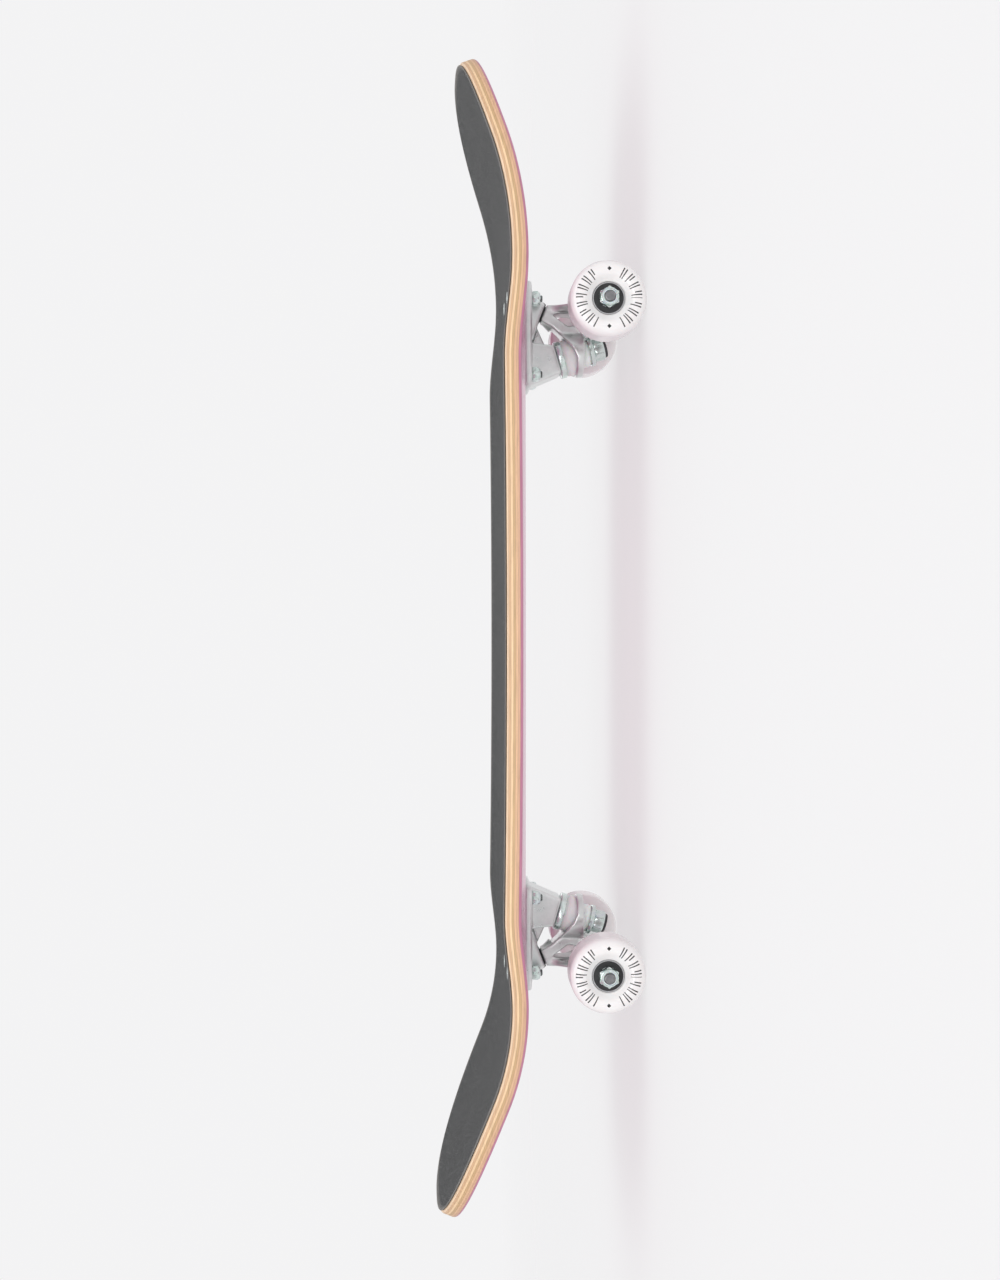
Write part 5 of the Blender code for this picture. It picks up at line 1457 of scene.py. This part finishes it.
def make_washer(thickness):
    tall = thickness / MM
    section = [
        (4.07, 0.1), (4.17, 0.0), (6.15, 0.0), (6.3, 0.15), (6.3, tall - 0.15), (6.15, tall), (4.17, tall),
        (4.07, tall - 0.1),
    ]
    return spun(scaled(section), 48, closed=True)


print("points in half a wheel's section", len(wheel_section()))

# %% Four wheel sets
WASHER = 0.9 * MM
AXLE_NUT_FLATS = 12.7 * MM
for end in TRUCKS:
    for side, way in (("left", 1.0), ("right", -1.0)):
        spot = f"{end}_{side}"
        outward = Vector((0.0, way, 0.0))
        hub = Vector((AXLES[end].x, middle(spot + "_wheel").y, AXLES[end].z))
        facing = Matrix.Rotation(-way * math.pi / 2, 4, "X")
        rolling, steering = spot + "_rolling", end + "_steering"
        wheel = make_wheel(Matrix.Translation(hub) @ facing, outward)
        wheel_faces = len(wheel.faces)
        keep(spot + "_urethane_wheel", wheel, [WHEEL_URETHANE], rolling, [spot + "_wheel"],
             50.0)
        for row in ("inner", "outer"):
            node = f"{spot}_{row}_bearing"
            low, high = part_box(node)
            centre = Vector((hub.x, (low.y + high.y) / 2, hub.z))
            bearing = placed(make_bearing(high.y - low.y), Matrix.Translation(centre) @ facing)
            keep(f"{spot}_{row}_sealed_bearing", bearing, [BEARING_STEEL, SEAL_RUBBER], rolling, [node],
                 30.0)
        low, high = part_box(spot + "_axle_washer")
        start = Vector((hub.x, low.y if way > 0 else high.y, hub.z))
        keep(spot + "_speed_washer", placed(make_washer(WASHER), Matrix.Translation(start) @ facing), [ZINC],
             steering, [spot + "_axle_washer"])
        inner_start = Vector((hub.x, way * (HALF_BODY + 0.1 * MM), hub.z))
        inner_washer = placed(make_washer(WASHER), Matrix.Translation(inner_start) @ facing)
        keep(spot + "_inner_speed_washer", inner_washer, [ZINC], steering, ())
        low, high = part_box(spot + "_axle_nut")
        nut_place = Matrix.Translation((hub.x, low.y if way > 0 else high.y, hub.z)) @ facing
        nut = placed(lock_nut(AXLE_NUT_FLATS, high.y - low.y, 4.0 * MM), nut_place)
        keep(spot + "_axle_lock_nut", nut, [ZINC, BUSHING_URETHANE], steering, [spot + "_axle_nut"],
             30.0)
print("wheel faces", wheel_faces)

# %% [markdown]
# ## Floor and light
#
# The board stands on a plain pale floor. The floor is a wide disc that glows a little, to keep its shadows
# pale, and fades out towards its rim. The world behind it is the same pale grey, so no edge or horizon
# shows, and from below the floor is clear. The light is soft: the world glows
# from all sides, more from above, a wide panel by the camera brightens the rail and the trucks, and one
# overhead shapes the tape. Panels are hidden from the camera, so that other views don't show them.

# %% The floor
FLOOR_RADIUS, FADE_FROM, FADE_TO = 3.0, 0.55, 2.2
PALE = (0.900, 0.898, 0.905)


def make_floor():
    shape = spun([(0.0, 0.0), (FADE_FROM, 0.0), (FLOOR_RADIUS, 0.0)], 96)
    if shape.faces[0].normal.z < 0.0:
        bmesh.ops.reverse_faces(shape, faces=shape.faces)
    mesh = bpy.data.meshes.new("studio_floor")
    shape.to_mesh(mesh)
    shape.free()
    floor = bpy.data.objects.new("studio_floor", mesh)
    bpy.context.scene.collection.objects.link(floor)
    paper, tree, shader = new_material("pale paper", roughness=0.95, colour=(0.24, 0.24, 0.24))
    shader.inputs["Specular IOR Level"].default_value = 0.1
    shader.inputs["Emission Color"].default_value = (1.0, 0.99, 1.0, 1.0)
    shader.inputs["Emission Strength"].default_value = 0.605
    split = add(tree, "SeparateXYZ")
    wire(tree, add(tree, "TexCoord").outputs["Object"], split.inputs[0])
    away = span(tree, length_of(tree, *split.outputs[:2]), FADE_FROM, FADE_TO, 1.0, 0.0)
    from_above = maths(tree, "SUBTRACT", 1.0, add(tree, "NewGeometry").outputs["Backfacing"])
    wire(tree, maths(tree, "MULTIPLY", away, from_above), shader.inputs["Alpha"])
    mesh.materials.append(paper)
    floor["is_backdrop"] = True
    print("floor faces", len(mesh.polygons))


make_floor()

# %% [markdown]
# ## The glow of the room
#
# What the camera sees behind the board is one flat colour. What lights the board is a soft gradient, from a
# bright ceiling to a dimmer floor, which gives the metal parts something to reflect.

# %% World and panels
def make_world():
    world = bpy.data.worlds.new("soft world")
    world.use_nodes = True
    tree = world.node_tree
    tree.nodes.clear()
    split = add(tree, "SeparateXYZ")
    wire(tree, add(tree, "TexCoord").outputs["Generated"], split.inputs[0])
    glow = ramp(tree, span(tree, split.outputs[2], -1.0, 1.0, 0.0, 1.0), [
        (0.0, (0.50, 0.49, 0.51)), (0.44, (0.52, 0.51, 0.53)), (0.56, (0.62, 0.62, 0.63)),
        (1.0, (0.84, 0.85, 0.86)),
    ])
    lit, seen = add(tree, "Background", Strength=1.0), add(tree, "Background", Strength=1.0)
    wire(tree, glow, lit.inputs[0])
    seen.inputs[0].default_value = (*PALE, 1.0)
    pick = add(tree, "MixShader")
    wire(tree, add(tree, "LightPath").outputs["Is Camera Ray"], pick.inputs[0])
    wire(tree, lit.outputs[0], pick.inputs[1])
    wire(tree, seen.outputs[0], pick.inputs[2])
    out = tree.nodes.new("ShaderNodeOutputWorld")
    wire(tree, pick.outputs[0], out.inputs[0])
    bpy.context.scene.world = world


def make_panel(name, spot, size, power):
    """A soft light that looks at the middle of the board."""
    light = bpy.data.lights.new(name, "AREA")
    light.shape = "RECTANGLE"
    light.size, light.size_y = size
    light.energy = power
    panel = bpy.data.objects.new(name, light)
    panel.location = spot
    panel.rotation_mode = "QUATERNION"
    panel.rotation_quaternion = (Vector((0.0, 0.0, 0.06)) - Vector(spot)).to_track_quat("-Z", "Y")
    panel.visible_camera = False
    bpy.context.scene.collection.objects.link(panel)


make_world()
make_panel("front panel", (0.3, 2.3, 1.1), (2.4, 1.2), 19.5)
make_panel("overhead panel", (-0.2, 0.4, 2.4), (2.2, 2.2), 19.0)
make_panel("back panel", (-0.4, -2.4, 1.0), (2.0, 1.0), 6.0)
bpy.context.scene.view_settings.view_transform = "Standard"

# %% [markdown]
# ## The camera
#
# The board is seen from its left side, turned so that its nose points down: the camera looks along -Y with
# the board's length upright in the picture. It stands a little over a metre away and slightly above the
# deck, so a strip of tape shows over the near rail.

# %% The camera
LENS_FOR_36_MM = 46.94
CAMERA_SPOT = Vector((-0.0179, 1.2131, 0.1527))
YAW, PITCH, ROLL = math.radians(-2.767), math.radians(-0.851), math.radians(0.027)

lens = bpy.data.cameras.new("camera")
lens.lens = LENS_FOR_36_MM
lens.sensor_width = 36.0
lens.clip_start, lens.clip_end = 0.02, 30.0
camera = bpy.data.objects.new("camera", lens)
right, up, back = Vector((0.0, 0.0, -1.0)), Vector((-1.0, 0.0, 0.0)), Vector((0.0, 1.0, 0.0))
level = Matrix((right, up, back)).transposed()
aimed = level @ Matrix.Rotation(YAW, 3, "Y") @ Matrix.Rotation(PITCH, 3, "X")
turned = aimed @ Matrix.Rotation(-ROLL, 3, "Z")
camera.matrix_world = Matrix.Translation(CAMERA_SPOT) @ turned.to_4x4()
bpy.context.scene.collection.objects.link(camera)
bpy.context.scene.camera = camera
print("camera looks along", [round(v, 3) for v in -turned.col[2]])

# %% [markdown]
# ## Boxes and finish
#
# The box of the imported model and the box of the dressed board are both printed, side by side. The
# dressed board must be no bigger than the imported one.

# %% Print the boxes and finish
VISUAL_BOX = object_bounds()
boxes = {"cad": [list(corner) for corner in CAD_BOX], "visual": [list(corner) for corner in VISUAL_BOX]}
for label, box in boxes.items():
    print(label, "box", [[round(v, 4) for v in corner] for corner in box])
